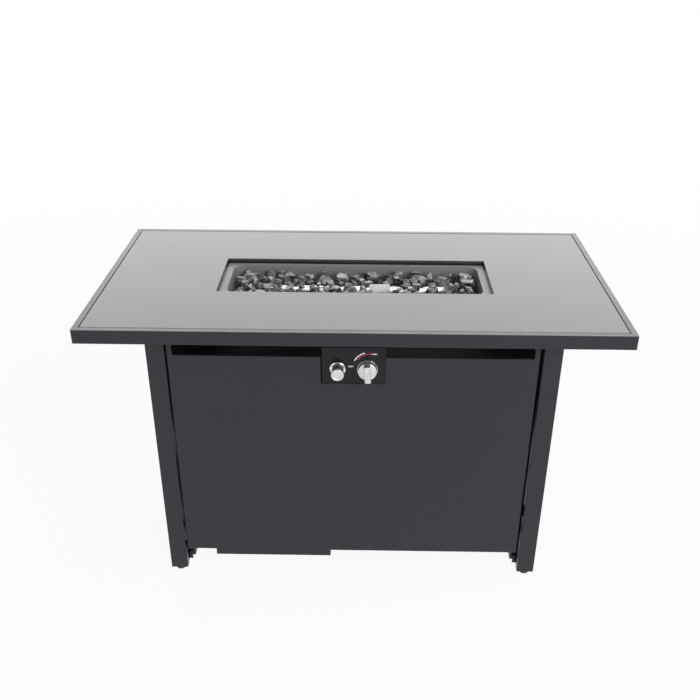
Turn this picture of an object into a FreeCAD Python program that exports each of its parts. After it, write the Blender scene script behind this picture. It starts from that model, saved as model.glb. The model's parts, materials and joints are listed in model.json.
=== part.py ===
import FreeCAD, Part
import itertools
import math
import os
import random
import re
import Sketcher

# A rectangular gas fire pit table: a folded steel top with an inlaid glass panel round a sunk
# burner, standing on a folded steel cabinet that hides the gas cylinder behind a hinged door.
# Frame: origin on the floor under the middle of the table, X to the right, Y to the back, Z up.
# Lengths are in millimetres.

SIZES = {
    # table top: folded steel with an apron, a rim and a sunk deck
    "overall_height": 640,
    "top_length": 1100,
    "top_width": 570,
    "apron_height": 29.5,
    "apron_return": 12,
    "top_sheet": 1.5,
    "top_corner": 2,
    "rim_width": 12,
    # inlaid glass and its soft pads
    "glass_thickness": 5,
    "glass_play": 1.5,
    "glass_corner": 3,
    "glass_arris": 0.8,
    "glass_pad_height": 1,
    "glass_pad_radius": 6,
    "glass_pad_inset": 20,
    "cutout_length": 592,
    "cutout_width": 186,
    # burner pan
    "pan_drop": 10,
    "pan_sheet": 1.5,
    "pan_play": 4,
    "ledge_width": 10,
    "pan_length": 556,
    "pan_width": 158,
    "pan_corner": 26,
    "pan_depth": 56,
    "pan_draft": 6,
    "drain_radius": 3,
    "drain_spacing": 110,
    "drain_row": 44,
    # burner tube, its ports and crimped ends
    "tube_drop": 39,
    "tube_radius": 12.7,
    "tube_wall": 1,
    "tube_length": 400,
    "crimp_length": 22,
    "crimp_half_width": 18.5,
    "crimp_half_height": 1.4,
    "port_radius": 1.4,
    "port_pitch": 25,
    "port_count": 15,
    "port_angle": 30,
    "saddle_spacing": 300,
    "saddle_width": 14,
    "saddle_sheet": 2,
    "stub_radius": 11,
    "stub_length": 14,
    "stub_wall": 1.5,
    # mixing tube below the pan
    "burner_nut_height": 6,
    "burner_nut_radius": 18,
    "elbow_wall": 2.5,
    "elbow_bend": 16,
    "elbow_reach": 30,
    "socket_length": 8,
    "venturi_spigot": 6,
    "venturi_mouth_radius": 13,
    "venturi_throat_radius": 9,
    "venturi_wall": 1.5,
    "venturi_cone_end": 10,
    "window_length": 12,
    "window_width": 14,
    "window_inset": 4,
    "shutter_wall": 1.2,
    "orifice_radius": 3,
    "orifice_hex_radius": 8,
    "orifice_hex_length": 8,
    "orifice_shank": 22,
    "orifice_nose": 12,
    "orifice_nose_radius": 1.5,
    "orifice_bore": 0.6,
    "pipe_radius": 3,
    "pipe_wall": 0.8,
    "pipe_bend": 10,
    "pipe_run": 60,
    "flare_thread_radius": 5,
    "flare_nut_length": 12,
    "flare_overlap": 6,
    # pilot shield, electrode and flame probe
    "shield_start": 31,
    "shield_width": 46,
    "shield_sheet": 1.2,
    "shield_drop": 13,
    "shield_setback": 18.3,
    "shield_foot": 14,
    "shield_corner": 4,
    "shield_shelf_level": 10,
    "electrode_radius": 2,
    "electrode_wire": 0.8,
    "probe_radius": 1.6,
    "rod_inset": 9,
    "rod_setback": 15.6,
    "rod_tail": 12,
    "shelf_margin": 4,
    "ceramic_depth": 20,
    "electrode_tip": 8,
    "probe_depth": 12,
    "probe_taper": 3,
    "probe_tip_radius": 0.8,
    # stones
    "stone_width": 48,
    "stone_depth": 40,
    "stone_height": 32,
    "stone_headroom": 13,
    # cabinet
    "overhang_length": 131.5,
    "overhang_width": 35,
    "leg_sheet": 1.5,
    "leg_face": 38,
    "leg_depth": 32,
    "leg_lip": 15,
    "leg_flange": 44.5,
    "leg_fold": 1.8,
    "leg_plate": 3,
    "foot_height": 10,
    "foot_radius": 11,
    "foot_stud_radius": 3.95,
    "foot_stud_length": 14,
    "foot_rim_height": 2.5,
    "foot_cone_height": 7,
    "foot_cone_radius": 8,
    "foot_neck_radius": 6,
    "running_gap": 0.05,
    "rest_gap": 0.3,
    # panels and door
    "panel_sheet": 1.2,
    "panel_fold": 15,
    "panel_bottom": 67,
    "slot_drop": 48,
    "slot_height": 24,
    "slot_inset": 10,
    "slot_corner": 4,
    "slot_lip": 5,
    "side_slot_inset": 30,
    "door_gap_left": 5,
    "door_gap_right": 8,
    "door_gap_top": 1.5,
    "notch_gap_left": 3,
    "notch_gap_right": 1,
    "notch_gap_bottom": 3,
    "pivot_inset": 7.5,
    "pivot_radius": 2.5,
    "pivot_reach": 6,
    "pivot_collar_radius": 4.5,
    "pivot_rivet_radius": 4,
    "collar_height": 1.2,
    "bracket_play": 1.5,
    "bracket_setback": 1,
    "bracket_reach": 7,
    "bracket_corner": 3,
    "bracket_drop": 22,
    "catch_height": 30,
    "catch_width": 15,
    "catch_low": 150,
    "catch_high": 500,
    "catch_ear": 3,
    "catch_corner": 1,
    # rails, tray and fasteners
    "rail_size": 22,
    "rail_sheet": 1.5,
    "rail_corner": 2,
    "top_rail_setback": 2,
    "rail_level": 19.5,
    "rail_offset": 40.5,
    "cross_spacing": 240,
    "tray_centre": -182,
    "tray_width": 264,
    "tray_back": 150,
    "tray_sheet": 1.5,
    "tray_lip": 4,
    "tray_side": 12,
    "tray_ring_radius": 112,
    "tray_ring_width": 4,
    "tray_ring_height": 4,
    "tray_hole_radius": 50,
    "tray_bolt_offset": 118,
    "bolt_radius": 3,
    "bolt_play": 0.1,
    "bolt_head_radius": 6.5,
    "bolt_head_height": 4,
    "screw_radius": 2,
    "screw_head_radius": 4,
    "screw_head_height": 2.4,
    "screw_edge": 8,
    "screw_low": 55,
    "screw_high": 80,
    # control panel
    "plate_width": 128,
    "plate_height": 81,
    "plate_drop": 49,
    "plate_proud": 1.5,
    "plate_sheet": 1.5,
    "plate_corner": 2,
    "control_depth": 45,
    "control_drop": 98,
    "hanger_width": 100,
    "hanger_sheet": 1.5,
    "hanger_drop": 4,
    "hanger_screws": 35,
    # gas valve and knob
    "knob_place": 28,
    "valve_radius": 15,
    "valve_length": 40,
    "valve_shoulder": 4,
    "outlet_length": 6,
    "bonnet_thickness": 4,
    "neck_radius": 6.5,
    "neck_proud": 2.5,
    "valve_nut_radius": 9.5,
    "valve_nut_height": 2,
    "chamber_length": 8,
    "chamber_radius": 9,
    "rotor_length": 20,
    "rotor_front_radius": 8.5,
    "rotor_rear_radius": 7,
    "rotor_inlet": 12,
    "socket_depth": 11,
    "stem_radius": 3,
    "stem_flat": 2,
    "tang_size": 4.2,
    "tang_length": 11,
    "collar_radius": 5.5,
    "collar_length": 1.6,
    "inlet_radius": 7.94,
    "inlet_length": 14,
    "inlet_hex_radius": 10.5,
    "inlet_hex_length": 8,
    "inlet_boss": 5,
    "inlet_relief": 1,
    "notch_radius": 11.2,
    "inlet_clearance": 14,
    "knob_radius": 19.4,
    "knob_length": 8.3,
    "knob_gap": 4.2,
    "knob_hollow_radius": 16,
    "knob_hub_radius": 6,
    "knob_hub_setback": 1.8,
    "knob_web": 2.5,
    "knob_socket": 8,
    "knob_edge": 1.2,
    "grip_width": 13,
    "grip_height": 15,
    "grip_top": 16.5,
    "grip_edge": 1.5,
    "grip_overlap": 1,
    "bezel_radius": 20.8,
    "bezel_rim": 1,
    "bezel_floor": 0.7,
    "bezel_height": 2.5,
    "bezel_hole_radius": 10,
    # igniter
    "igniter_place": -32,
    "igniter_neck_radius": 12.2,
    "igniter_neck_length": 14.5,
    "igniter_thread_radius": 11,
    "igniter_length": 60,
    "igniter_edge": 0.8,
    "igniter_cap": 1,
    "blade_place": 4,
    "blade_length": 7,
    "blade_half_width": 3.1,
    "blade_half_sheet": 0.4,
    "igniter_travel": 4,
    "igniter_bezel_radius": 16.2,
    "igniter_bezel_height": 3,
    "igniter_bezel_edge": 1.5,
    "igniter_nut_height": 5,
    "igniter_nut_radius": 16,
    "button_radius": 12.9,
    "button_length": 7.7,
    "button_dish": 0.8,
    "button_edge": 0.8,
    "dish_inset": 3,
    "dish_rim": 1,
    "plunger_radius": 8,
    "plunger_length": 15.5,
    "battery_radius": 7.25,
    "battery_length": 50.5,
    "battery_nub_radius": 2.7,
    "battery_nub_height": 1.2,
    "spring_wire": 0.8,
    "spring_turns": 4,
}

# sizes that follow from the ones above
DERIVED = {
    "cabinet_length": "=top_length - 2*overhang_length",
    "cabinet_depth": "=top_width - 2*overhang_width",
    "venturi_length": "=cabinet_depth/2 + plate_proud - plate_sheet - bonnet_thickness - valve_length"
                      " - outlet_length - pipe_run - orifice_shank - elbow_reach",
}

doc = FreeCAD.newDocument("FirePitTable")
sheet = doc.addObject("Spreadsheet::Sheet", "Sizes")
for row, (alias, value) in enumerate([*SIZES.items(), *DERIVED.items()], start=1):
    sheet.set("A%d" % row, alias)
    sheet.set("B%d" % row, str(value))
    sheet.setAlias("B%d" % row, alias)
doc.recompute()

ALIAS = re.compile(r"\b(%s)\b" % "|".join([*SIZES, *DERIVED]))
X_AXIS = FreeCAD.Vector(1, 0, 0)
Y_AXIS = FreeCAD.Vector(0, 1, 0)
Z_AXIS = FreeCAD.Vector(0, 0, 1)

# levels above the floor and places that several pieces share
APRON_BOTTOM = "(overall_height - apron_height)"
DECK_TOP = "(overall_height - glass_thickness - glass_pad_height)"
DECK_UNDER = "(overall_height - glass_thickness - glass_pad_height - top_sheet)"
FLANGE_TOP = "(overall_height - pan_drop)"
SEAT_TOP = "(overall_height - pan_drop - pan_sheet)"
SEAT_UNDER = "(overall_height - pan_drop - pan_sheet - top_sheet)"
PAN_FLOOR = "(overall_height - pan_drop - pan_depth)"
PAN_UNDER = "(overall_height - pan_drop - pan_depth - pan_sheet)"
TUBE_LEVEL = "(overall_height - tube_drop)"
CONTROL_LEVEL = "(overall_height - control_drop)"
DOOR_TOP = "(overall_height - apron_height - door_gap_top)"
RAIL_BOTTOM = "(overall_height - glass_thickness - glass_pad_height - top_sheet - rail_size)"
SLOT_TOP = "(overall_height - slot_drop)"
SLOT_BOTTOM = "(overall_height - slot_drop - slot_height)"
PLATE_TOP = "(overall_height - plate_drop)"
PLATE_BOTTOM = "(overall_height - plate_drop - plate_height)"
PLATE_FRONT = "(-cabinet_depth/2 - plate_proud)"
PLATE_BACK = "(-cabinet_depth/2 - plate_proud + plate_sheet)"
FACE = "(-cabinet_depth/2)"
OPENING = "(cabinet_length/2 - leg_face)"
FLANGE_FRONT = "(-cabinet_depth/2 + leg_depth - leg_sheet)"
RAIL_TOP = "(rail_level + rail_size)"
RAIL_MIDDLE = "(rail_level + rail_size/2)"
SIDE_RAIL = "(cabinet_length/2 - rail_offset)"
PIVOT_X = "(-cabinet_length/2 + leg_face + door_gap_left + pivot_inset)"
PIVOT_Y = "(-cabinet_depth/2 + pivot_inset)"
TOP_RAIL_FRONT = "(-cabinet_depth/2 + top_rail_setback)"
ELBOW_TOP = "(overall_height - pan_drop - pan_depth - pan_sheet - burner_nut_height - rest_gap)"
ORIFICE_FRONT = "(-elbow_reach - venturi_length)"
PANEL_SCREW_LEVELS = ("panel_bottom + screw_low", "(panel_bottom + overall_height)/2",
                      "overall_height - screw_high")
TRAY_BOLTS = ("tray_centre - tray_bolt_offset", "tray_centre + tray_bolt_offset")
HANGER_BACK = TOP_RAIL_FRONT + " + rail_size + hanger_sheet"
INLET_PLACE = "(plate_sheet + bonnet_thickness + chamber_length + rotor_inlet)"
VALVE_OUTLET = "(%s + plate_sheet + bonnet_thickness + valve_length + outlet_length)" % PLATE_FRONT

nodes = {}


def size(expression):
    """The number that an expression on the sheet's names has now."""
    return float(sheet.evalExpression(str(expression)))


def linked(expression):
    """The same expression as another object has to write it."""
    return ALIAS.sub(r"Sizes.\1", str(expression))


def bind(thing, prop, expression):
    thing.setExpression(prop, linked(expression))


def node(name, thing):
    """Names a finished sub-part."""
    thing.Label = name
    nodes[name] = thing
    return thing


def place(thing, x=0, y=0, z=0, axis=Z_AXIS, angle=0):
    spot = FreeCAD.Vector(size(x), size(y), size(z))
    thing.Placement = FreeCAD.Placement(spot, FreeCAD.Rotation(axis, angle))
    for letter, expression in zip("xyz", (x, y, z)):
        bind(thing, "Placement.Base." + letter, expression)
    return thing


# sketches

def pin_point(sketch, geometry, end, x, y):
    for kind, expression in (("DistanceX", x), ("DistanceY", y)):
        limit = Sketcher.Constraint(kind, -1, 1, geometry, end, size(expression))
        sketch.setExpression("Constraints[%d]" % sketch.addConstraint(limit), linked(expression))


def draw_disc(sketch, x, y, radius):
    centre = FreeCAD.Vector(size(x), size(y), 0)
    ring = sketch.addGeometry(Part.Circle(centre, Z_AXIS, size(radius)))
    pin_point(sketch, ring, 3, x, y)
    limit = Sketcher.Constraint("Radius", ring, size(radius))
    sketch.setExpression("Constraints[%d]" % sketch.addConstraint(limit), linked(radius))


def draw_outline(sketch, corners):
    """Straight sides through (x, y) corners; a corner (x, y, radius) between square sides is rounded."""
    points = [FreeCAD.Vector(size(corner[0]), size(corner[1]), 0) for corner in corners]
    count = len(corners)
    ways = [(points[(i + 1) % count] - points[i]).normalize() for i in range(count)]
    arrive, leave = [], []
    for i, corner in enumerate(corners):
        x, y = corner[:2]
        if len(corner) == 2:
            arrive.append((x, y))
            leave.append((x, y))
            continue
        before, after = ways[i - 1], ways[i]
        arrive.append(tuple("(%s) - (%s)*(%d)" % (c, corner[2], round(w)) for c, w in zip((x, y), before)))
        leave.append(tuple("(%s) + (%s)*(%d)" % (c, corner[2], round(w)) for c, w in zip((x, y), after)))
    sides = []
    for i in range(count):
        start, stop = leave[i], arrive[(i + 1) % count]
        line = Part.LineSegment(FreeCAD.Vector(size(start[0]), size(start[1]), 0),
                                FreeCAD.Vector(size(stop[0]), size(stop[1]), 0))
        sides.append(sketch.addGeometry(line))
        pin_point(sketch, sides[i], 1, *start)
        if len(corners[(i + 1) % count]) == 3:
            pin_point(sketch, sides[i], 2, *stop)
    for i, corner in enumerate(corners):
        if len(corner) == 2:
            sketch.addConstraint(Sketcher.Constraint("Coincident", sides[i - 1], 2, sides[i], 1))
            continue
        before, after, radius = ways[i - 1], ways[i], size(corner[2])
        centre = points[i] - before * radius + after * radius
        first, last = points[i] - before * radius - centre, points[i] + after * radius - centre
        if before.cross(after).z < 0:
            first, last = last, first
        arc = Part.ArcOfCircle(Part.Circle(centre, Z_AXIS, radius),
                               math.atan2(first.y, first.x), math.atan2(last.y, last.x))
        bend = sketch.addGeometry(arc)
        ends = (1, 2) if before.cross(after).z > 0 else (2, 1)
        sketch.addConstraint(Sketcher.Constraint("Coincident", sides[i - 1], 2, bend, ends[0]))
        sketch.addConstraint(Sketcher.Constraint("Coincident", sides[i], 1, bend, ends[1]))
        limit = Sketcher.Constraint("Radius", bend, radius)
        sketch.setExpression("Constraints[%d]" % sketch.addConstraint(limit), linked(corner[2]))


def draw(sketch, loop):
    if isinstance(loop, tuple):
        draw_disc(sketch, *loop)
    else:
        draw_outline(sketch, loop)


def rectangle(x0, x1, y0, y1, radius=None):
    corners = [(x0, y0), (x1, y0), (x1, y1), (x0, y1)]
    return [corner + (radius,) for corner in corners] if radius else corners


def centred(half_x, half_y, radius=None):
    return rectangle("-(%s)" % half_x, half_x, "-(%s)" % half_y, half_y, radius)


def hexagonal(radius):
    """A hexagon outline round the origin, its corners at the given radius."""
    shares = ((1, 0), (0.5, 0.8660254), (-0.5, 0.8660254), (-1, 0), (-0.5, -0.8660254), (0.5, -0.8660254))
    return [("(%s)*%r" % (radius, a), "(%s)*%r" % (radius, b)) for a, b in shares]


def new_body(name):
    return doc.addObject("PartDesign::Body", name)


def sketch_on(body, plane, level):
    sketch = body.newObject("Sketcher::SketchObject", body.Name + "_sketch")
    support = next(f for f in body.Origin.OriginFeatures if f.Role == plane + "_Plane")
    sketch.AttachmentSupport = [(support, "")]
    sketch.MapMode = "FlatFace"
    bind(sketch, "AttachmentOffset.Base.z", "-(%s)" % level if plane == "XZ" else level)
    return sketch


def extrude(body, kind, plane, start, stop, *loops):
    """Pads or pockets the loops of a plane from one level to a further one along X, Y or Z."""
    sketch = sketch_on(body, plane, start)
    for loop in loops:
        draw(sketch, loop)
    feature = body.newObject("PartDesign::" + kind, body.Name + "_" + kind.lower())
    feature.Profile = sketch
    feature.Reversed = (kind == "Pad") == (plane == "XZ")
    bind(feature, "Length", "(%s) - (%s)" % (stop, start))
    return feature


def pad(body, plane, start, stop, *loops):
    return extrude(body, "Pad", plane, start, stop, *loops)


def pocket(body, plane, start, stop, *loops):
    return extrude(body, "Pocket", plane, start, stop, *loops)


def turn(body, axis, profile, kind="Revolution"):
    """Revolves a profile of (radius, along) corners about X, Y or Z, or grooves it away."""
    sketch = sketch_on(body, "XZ" if axis == "Z" else "XY", "0")
    draw_outline(sketch, [(b, a) if axis == "X" else (a, b) for a, b in profile])
    feature = body.newObject("PartDesign::" + kind, body.Name + "_" + kind.lower())
    feature.Profile = sketch
    feature.ReferenceAxis = (sketch, ["H_Axis" if axis == "X" else "V_Axis"])
    feature.Angle = 360
    return feature


def edges_where(shape, test):
    """Names of the edges whose middle point passes the test."""
    names = []
    for number, edge in enumerate(shape.Edges, start=1):
        middle = edge.valueAt((edge.FirstParameter + edge.LastParameter) / 2)
        if test(edge, middle):
            names.append("Edge%d" % number)
    return names


def dress(body, kind, amount, test):
    """Fillets or chamfers the edges of the body that pass the test."""
    doc.recompute()
    base = body.Tip
    feature = body.newObject("PartDesign::" + kind, body.Name + "_" + kind.lower())
    feature.Base = (base, edges_where(base.Shape, test))
    bind(feature, "Radius" if kind == "Fillet" else "Size", amount)
    return feature


# fasteners made of primitives, looking along one of the axes

TURN = {"x": (Y_AXIS, 90), "-x": (Y_AXIS, -90), "y": (X_AXIS, -90), "-y": (X_AXIS, 90),
        "z": (X_AXIS, 0), "-z": (X_AXIS, 180)}


def cylinder(name, radius, height, way, x, y, z):
    thing = doc.addObject("Part::Cylinder", name)
    bind(thing, "Radius", radius)
    bind(thing, "Height", height)
    return place(thing, x, y, z, *TURN[way])


def hexagon(name, radius, height, way, x, y, z):
    thing = doc.addObject("Part::Prism", name)
    thing.Polygon = 6
    bind(thing, "Circumradius", radius)
    bind(thing, "Height", height)
    return place(thing, x, y, z, *TURN[way])


def bolt(x, y, z, way, grip):
    """A hexagon bolt whose head bears at the place given and whose shank points along way."""
    back = way[1:] if way.startswith("-") else "-" + way
    head = hexagon("bolt_head", "bolt_head_radius", "bolt_head_height", back, x, y, z)
    shank = cylinder("bolt_shank", "bolt_radius", grip, way, x, y, z)
    return fuse("bolt", head, shank)


def screw(x, y, z, way, grip):
    """A small pan-head screw."""
    back = way[1:] if way.startswith("-") else "-" + way
    head = cylinder("screw_head", "screw_head_radius", "screw_head_height", back, x, y, z)
    shank = cylinder("screw_shank", "screw_radius", grip, way, x, y, z)
    return fuse("screw", head, shank)


def fuse(name, *things):
    thing = doc.addObject("Part::MultiFuse", name)
    thing.Shapes = list(things)
    return thing


def cut(name, base, tool):
    thing = doc.addObject("Part::Cut", name)
    thing.Base = base
    thing.Tool = tool
    return thing


def coil(name, radius, x, front, back, z):
    """A coil spring along Y, standing between two faces, its wire eight-sided."""
    wire_path = doc.addObject("Part::Helix", name + "_path")
    length = "(%s) - (%s) - spring_wire" % (back, front)
    bind(wire_path, "Radius", radius)
    bind(wire_path, "Height", length)
    bind(wire_path, "Pitch", "(%s)/spring_turns" % length)
    section = doc.addObject("Part::RegularPolygon", name + "_section")
    section.Polygon = 8
    bind(section, "Circumradius", "spring_wire/2")
    place(section, radius, "0", "0", X_AXIS, 90)
    sweep = doc.addObject("Part::Sweep", name)
    sweep.Sections = [section]
    sweep.Spine = (wire_path, [])
    sweep.Solid = True
    sweep.Frenet = True
    return node(name, place(sweep, x, "(%s) + spring_wire/2" % front, z, *TURN["y"]))


def group(name, things):
    thing = doc.addObject("Part::Compound", name)
    thing.Links = list(things)
    return node(name, thing)


# table top

def make_tabletop():
    body = new_body("tabletop")
    pad(body, "XY", APRON_BOTTOM, "overall_height", centred("top_length/2", "top_width/2", "top_corner"))
    pocket(body, "XY", DECK_TOP, "overall_height",
           centred("top_length/2 - rim_width", "top_width/2 - rim_width"))
    pocket(body, "XY", APRON_BOTTOM, APRON_BOTTOM + " + top_sheet",
           centred("top_length/2 - apron_return", "top_width/2 - apron_return"))
    inner = centred("top_length/2 - top_sheet", "top_width/2 - top_sheet")
    pocket(body, "XY", APRON_BOTTOM + " + top_sheet", DECK_UNDER, inner)
    pocket(body, "XY", DECK_UNDER, "overall_height - top_sheet", inner,
           centred("top_length/2 - rim_width + top_sheet", "top_width/2 - rim_width + top_sheet"))
    opening = centred("cutout_length/2", "cutout_width/2")
    pocket(body, "XY", DECK_UNDER, DECK_TOP, opening)
    wall = centred("cutout_length/2 + top_sheet", "cutout_width/2 + top_sheet")
    pad(body, "XY", SEAT_UNDER, DECK_TOP, wall, opening)
    pad(body, "XY", SEAT_UNDER, SEAT_TOP, wall,
        centred("cutout_length/2 - ledge_width", "cutout_width/2 - ledge_width"))
    holes = [leg_point(side, end, "leg_face/2", "leg_depth/2") + ("bolt_radius + bolt_play",)
             for side in (-1, 1) for end in (-1, 1)]
    pocket(body, "XY", DECK_UNDER, DECK_TOP, *holes)
    node("tabletop", body)


def make_glass():
    body = new_body("glass_top")
    pad(body, "XY", "overall_height - glass_thickness", "overall_height",
        centred("top_length/2 - rim_width - glass_play", "top_width/2 - rim_width - glass_play",
                "glass_corner"),
        centred("cutout_length/2", "cutout_width/2", "glass_corner"))
    top = size("overall_height")
    dress(body, "Chamfer", "glass_arris", lambda edge, middle: abs(middle.z - top) < 0.01)
    node("glass_top", body)
    pads = []
    reach = "(%s/2 - rim_width - glass_pad_inset)"
    for side in (-1, 1):
        for end in (-1, 1):
            for share in ("1", "1/3"):
                x = "%d*%s*%s" % (side, reach % "top_length", share)
                y = "%d*%s" % (end, reach % "top_width")
                pads.append(cylinder("glass_pad", "glass_pad_radius", "glass_pad_height", "z", x, y, DECK_TOP))
    group("glass_pads", pads)


# burner

def make_pan():
    body = new_body("burner_pan")
    pad(body, "XY", SEAT_TOP, FLANGE_TOP,
        centred("cutout_length/2 - pan_play", "cutout_width/2 - pan_play", "glass_corner"))
    for kind, level, grow, depth in (("AdditiveLoft", SEAT_TOP, "pan_sheet", PAN_UNDER),
                                     ("SubtractiveLoft", FLANGE_TOP, "0", PAN_FLOOR)):
        mouth = sketch_on(body, "XY", level)
        draw(mouth, centred("pan_length/2 + " + grow, "pan_width/2 + " + grow, "pan_corner + " + grow))
        floor = sketch_on(body, "XY", depth)
        draw(floor, centred("pan_length/2 - pan_draft + " + grow, "pan_width/2 - pan_draft + " + grow,
                            "pan_corner + " + grow))
        loft = body.newObject("PartDesign::" + kind, "pan_" + kind.lower())
        loft.Profile = mouth
        loft.Sections = [floor]
        loft.Ruled = True
    drains = [("%d*drain_spacing" % i, "%d*drain_row" % j, "drain_radius")
              for i in (-2, -1, 1, 2) for j in (-1, 1)]
    pocket(body, "XY", PAN_UNDER, PAN_FLOOR, ("0", "0", "stub_radius + bolt_play"), *drains)
    pocket(body, "XY", PAN_UNDER, PAN_FLOOR,
           rectangle("shield_start + 2", "shield_start + shield_width - 2",
                     "-rod_setback - electrode_radius - 1", "-rod_setback + electrode_radius + 1"))
    node("burner_pan", body)


def crimped_end(side):
    """The round tube squeezed flat at its end."""
    start = doc.addObject("Part::Circle", "crimp_circle")
    bind(start, "Radius", "tube_radius")
    flat = doc.addObject("Part::Ellipse", "crimp_ellipse")
    bind(flat, "MajorRadius", "crimp_half_width")
    bind(flat, "MinorRadius", "crimp_half_height")
    turned = FreeCAD.Rotation(FreeCAD.Vector(0, 1, 0), FreeCAD.Vector(0, 0, 1), FreeCAD.Vector(1, 0, 0))
    for ring, reach in ((start, "tube_length/2"), (flat, "tube_length/2 + crimp_length")):
        place(ring, "%d*(%s)" % (side, reach), "0", TUBE_LEVEL)
        ring.Placement.Rotation = turned
        bind(ring, "Placement.Base.x", "%d*(%s)" % (side, reach))
    loft = doc.addObject("Part::Loft", "crimp")
    loft.Sections = [start, flat]
    loft.Solid = True
    return loft


def make_burner_tube():
    body = new_body("ported_tube")
    pad(body, "YZ", "-tube_length/2", "tube_length/2", ("0", TUBE_LEVEL, "tube_radius"))
    stub_end = PAN_UNDER + " - stub_length"
    pad(body, "XY", stub_end, TUBE_LEVEL, ("0", "0", "stub_radius"))
    pocket(body, "YZ", "-tube_length/2", "tube_length/2", ("0", TUBE_LEVEL, "tube_radius - tube_wall"))
    pocket(body, "XY", stub_end, TUBE_LEVEL, ("0", "0", "stub_radius - stub_wall"))
    for side in (1, -1):
        sketch = sketch_on(body, "XY", TUBE_LEVEL)
        sketch.AttachmentOffset = FreeCAD.Placement(
            FreeCAD.Vector(0, 0, size(TUBE_LEVEL)), FreeCAD.Rotation(X_AXIS, side * size("port_angle")))
        bind(sketch, "AttachmentOffset.Base.z", TUBE_LEVEL)
        draw(sketch, ("-(port_count - 1)*port_pitch/2", "0", "port_radius"))
        port = body.newObject("PartDesign::Pocket", "port")
        port.Profile = sketch
        port.Reversed = True
        bind(port, "Length", "tube_radius + 1")
        row = body.newObject("PartDesign::LinearPattern", "port_row")
        row.Originals = [port]
        row.Direction = (sketch, ["H_Axis"])
        bind(row, "Length", "(port_count - 1)*port_pitch")
        bind(row, "Occurrences", "port_count")
        body.Tip = row
    node("burner_tube", fuse("burner_tube", body, crimped_end(-1), crimped_end(1)))


def make_saddles():
    saddles = []
    for side in (-1, 1):
        body = new_body("burner_saddle")
        middle = "%d*saddle_spacing/2" % side
        plate = [middle + " - saddle_sheet/2", middle + " + saddle_sheet/2"]
        half = "tube_radius + 2"
        pad(body, "YZ", *plate, rectangle("-(%s)" % half, half, PAN_FLOOR, TUBE_LEVEL))
        pocket(body, "YZ", *plate, ("0", TUBE_LEVEL, "tube_radius"))
        pad(body, "XY", PAN_FLOOR, PAN_FLOOR + " + saddle_sheet",
            rectangle(middle + " - saddle_width/2", middle + " + saddle_width/2", "-(%s)" % half, half))
        saddles.append(body)
    group("burner_saddles", saddles)


def make_mixer():
    hexa = hexagon("burner_nut_hex", "burner_nut_radius", "burner_nut_height", "-z", "0", "0", PAN_UNDER)
    bore = cylinder("burner_nut_bore", "stub_radius", "burner_nut_height", "-z", "0", "0", PAN_UNDER)
    node("burner_nut", cut("burner_nut", hexa, bore))

    elbow = new_body("burner_elbow")
    for kind, radius in (("AdditivePipe", "stub_radius + elbow_wall"),
                         ("SubtractivePipe", "stub_radius - stub_wall")):
        path = sketch_on(elbow, "YZ", "0")
        draw_elbow(path)
        mouth = sketch_on(elbow, "XY", ELBOW_TOP)
        draw(mouth, ("0", "0", radius))
        bend = elbow.newObject("PartDesign::" + kind, "elbow_" + kind.lower())
        bend.Profile = mouth
        bend.Spine = path
    pocket(elbow, "XY", ELBOW_TOP + " - socket_length", ELBOW_TOP, ("0", "0", "stub_radius"))
    node("burner_elbow", elbow)

    venturi = new_body("venturi")
    front, rear = "-venturi_length", "venturi_spigot"
    mouth, throat = "venturi_mouth_radius", "venturi_throat_radius"
    spigot = "stub_radius - stub_wall"
    windows_end = "-venturi_length + window_inset*2 + window_length"
    turn(venturi, "Y", [("0", front), (mouth, front), (mouth, windows_end), (throat, "-venturi_length/2"),
                        ("stub_radius", "-venturi_cone_end"), ("stub_radius", "0"), (spigot, "0"),
                        (spigot, rear), ("0", rear)])
    turn(venturi, "Y", [("0", front + " + venturi_wall"),
                        (mouth + " - venturi_wall", front + " + venturi_wall"),
                        (mouth + " - venturi_wall", windows_end),
                        (throat + " - venturi_wall", "-venturi_length/2"),
                        (spigot + " - venturi_wall", "-venturi_cone_end"),
                        (spigot + " - venturi_wall", rear), ("0", rear)],
         "Groove")
    pocket(venturi, "XZ", front, front + " + venturi_wall", ("0", "0", "orifice_radius"))
    window = rectangle("-window_width/2", "window_width/2", front + " + window_inset",
                       front + " + window_inset + window_length")
    pocket(venturi, "XY", "-venturi_mouth_radius", "venturi_mouth_radius", window)
    node("venturi", place(venturi, "0", "-elbow_reach", CONTROL_LEVEL))

    shutter = new_body("air_shutter")
    outer = mouth + " + shutter_wall"
    turn(shutter, "Y", [(mouth, front + " + 1"), (outer, front + " + 1"),
                        (outer, windows_end + " - 1"), (mouth, windows_end + " - 1")])
    half_open = rectangle("-window_width/2", "window_width/2", front + " + window_inset + window_length/2",
                          front + " + window_inset + window_length")
    pocket(shutter, "XY", "-(%s)" % outer, outer, half_open)
    node("air_shutter", place(shutter, "0", "-elbow_reach", CONTROL_LEVEL))


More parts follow.
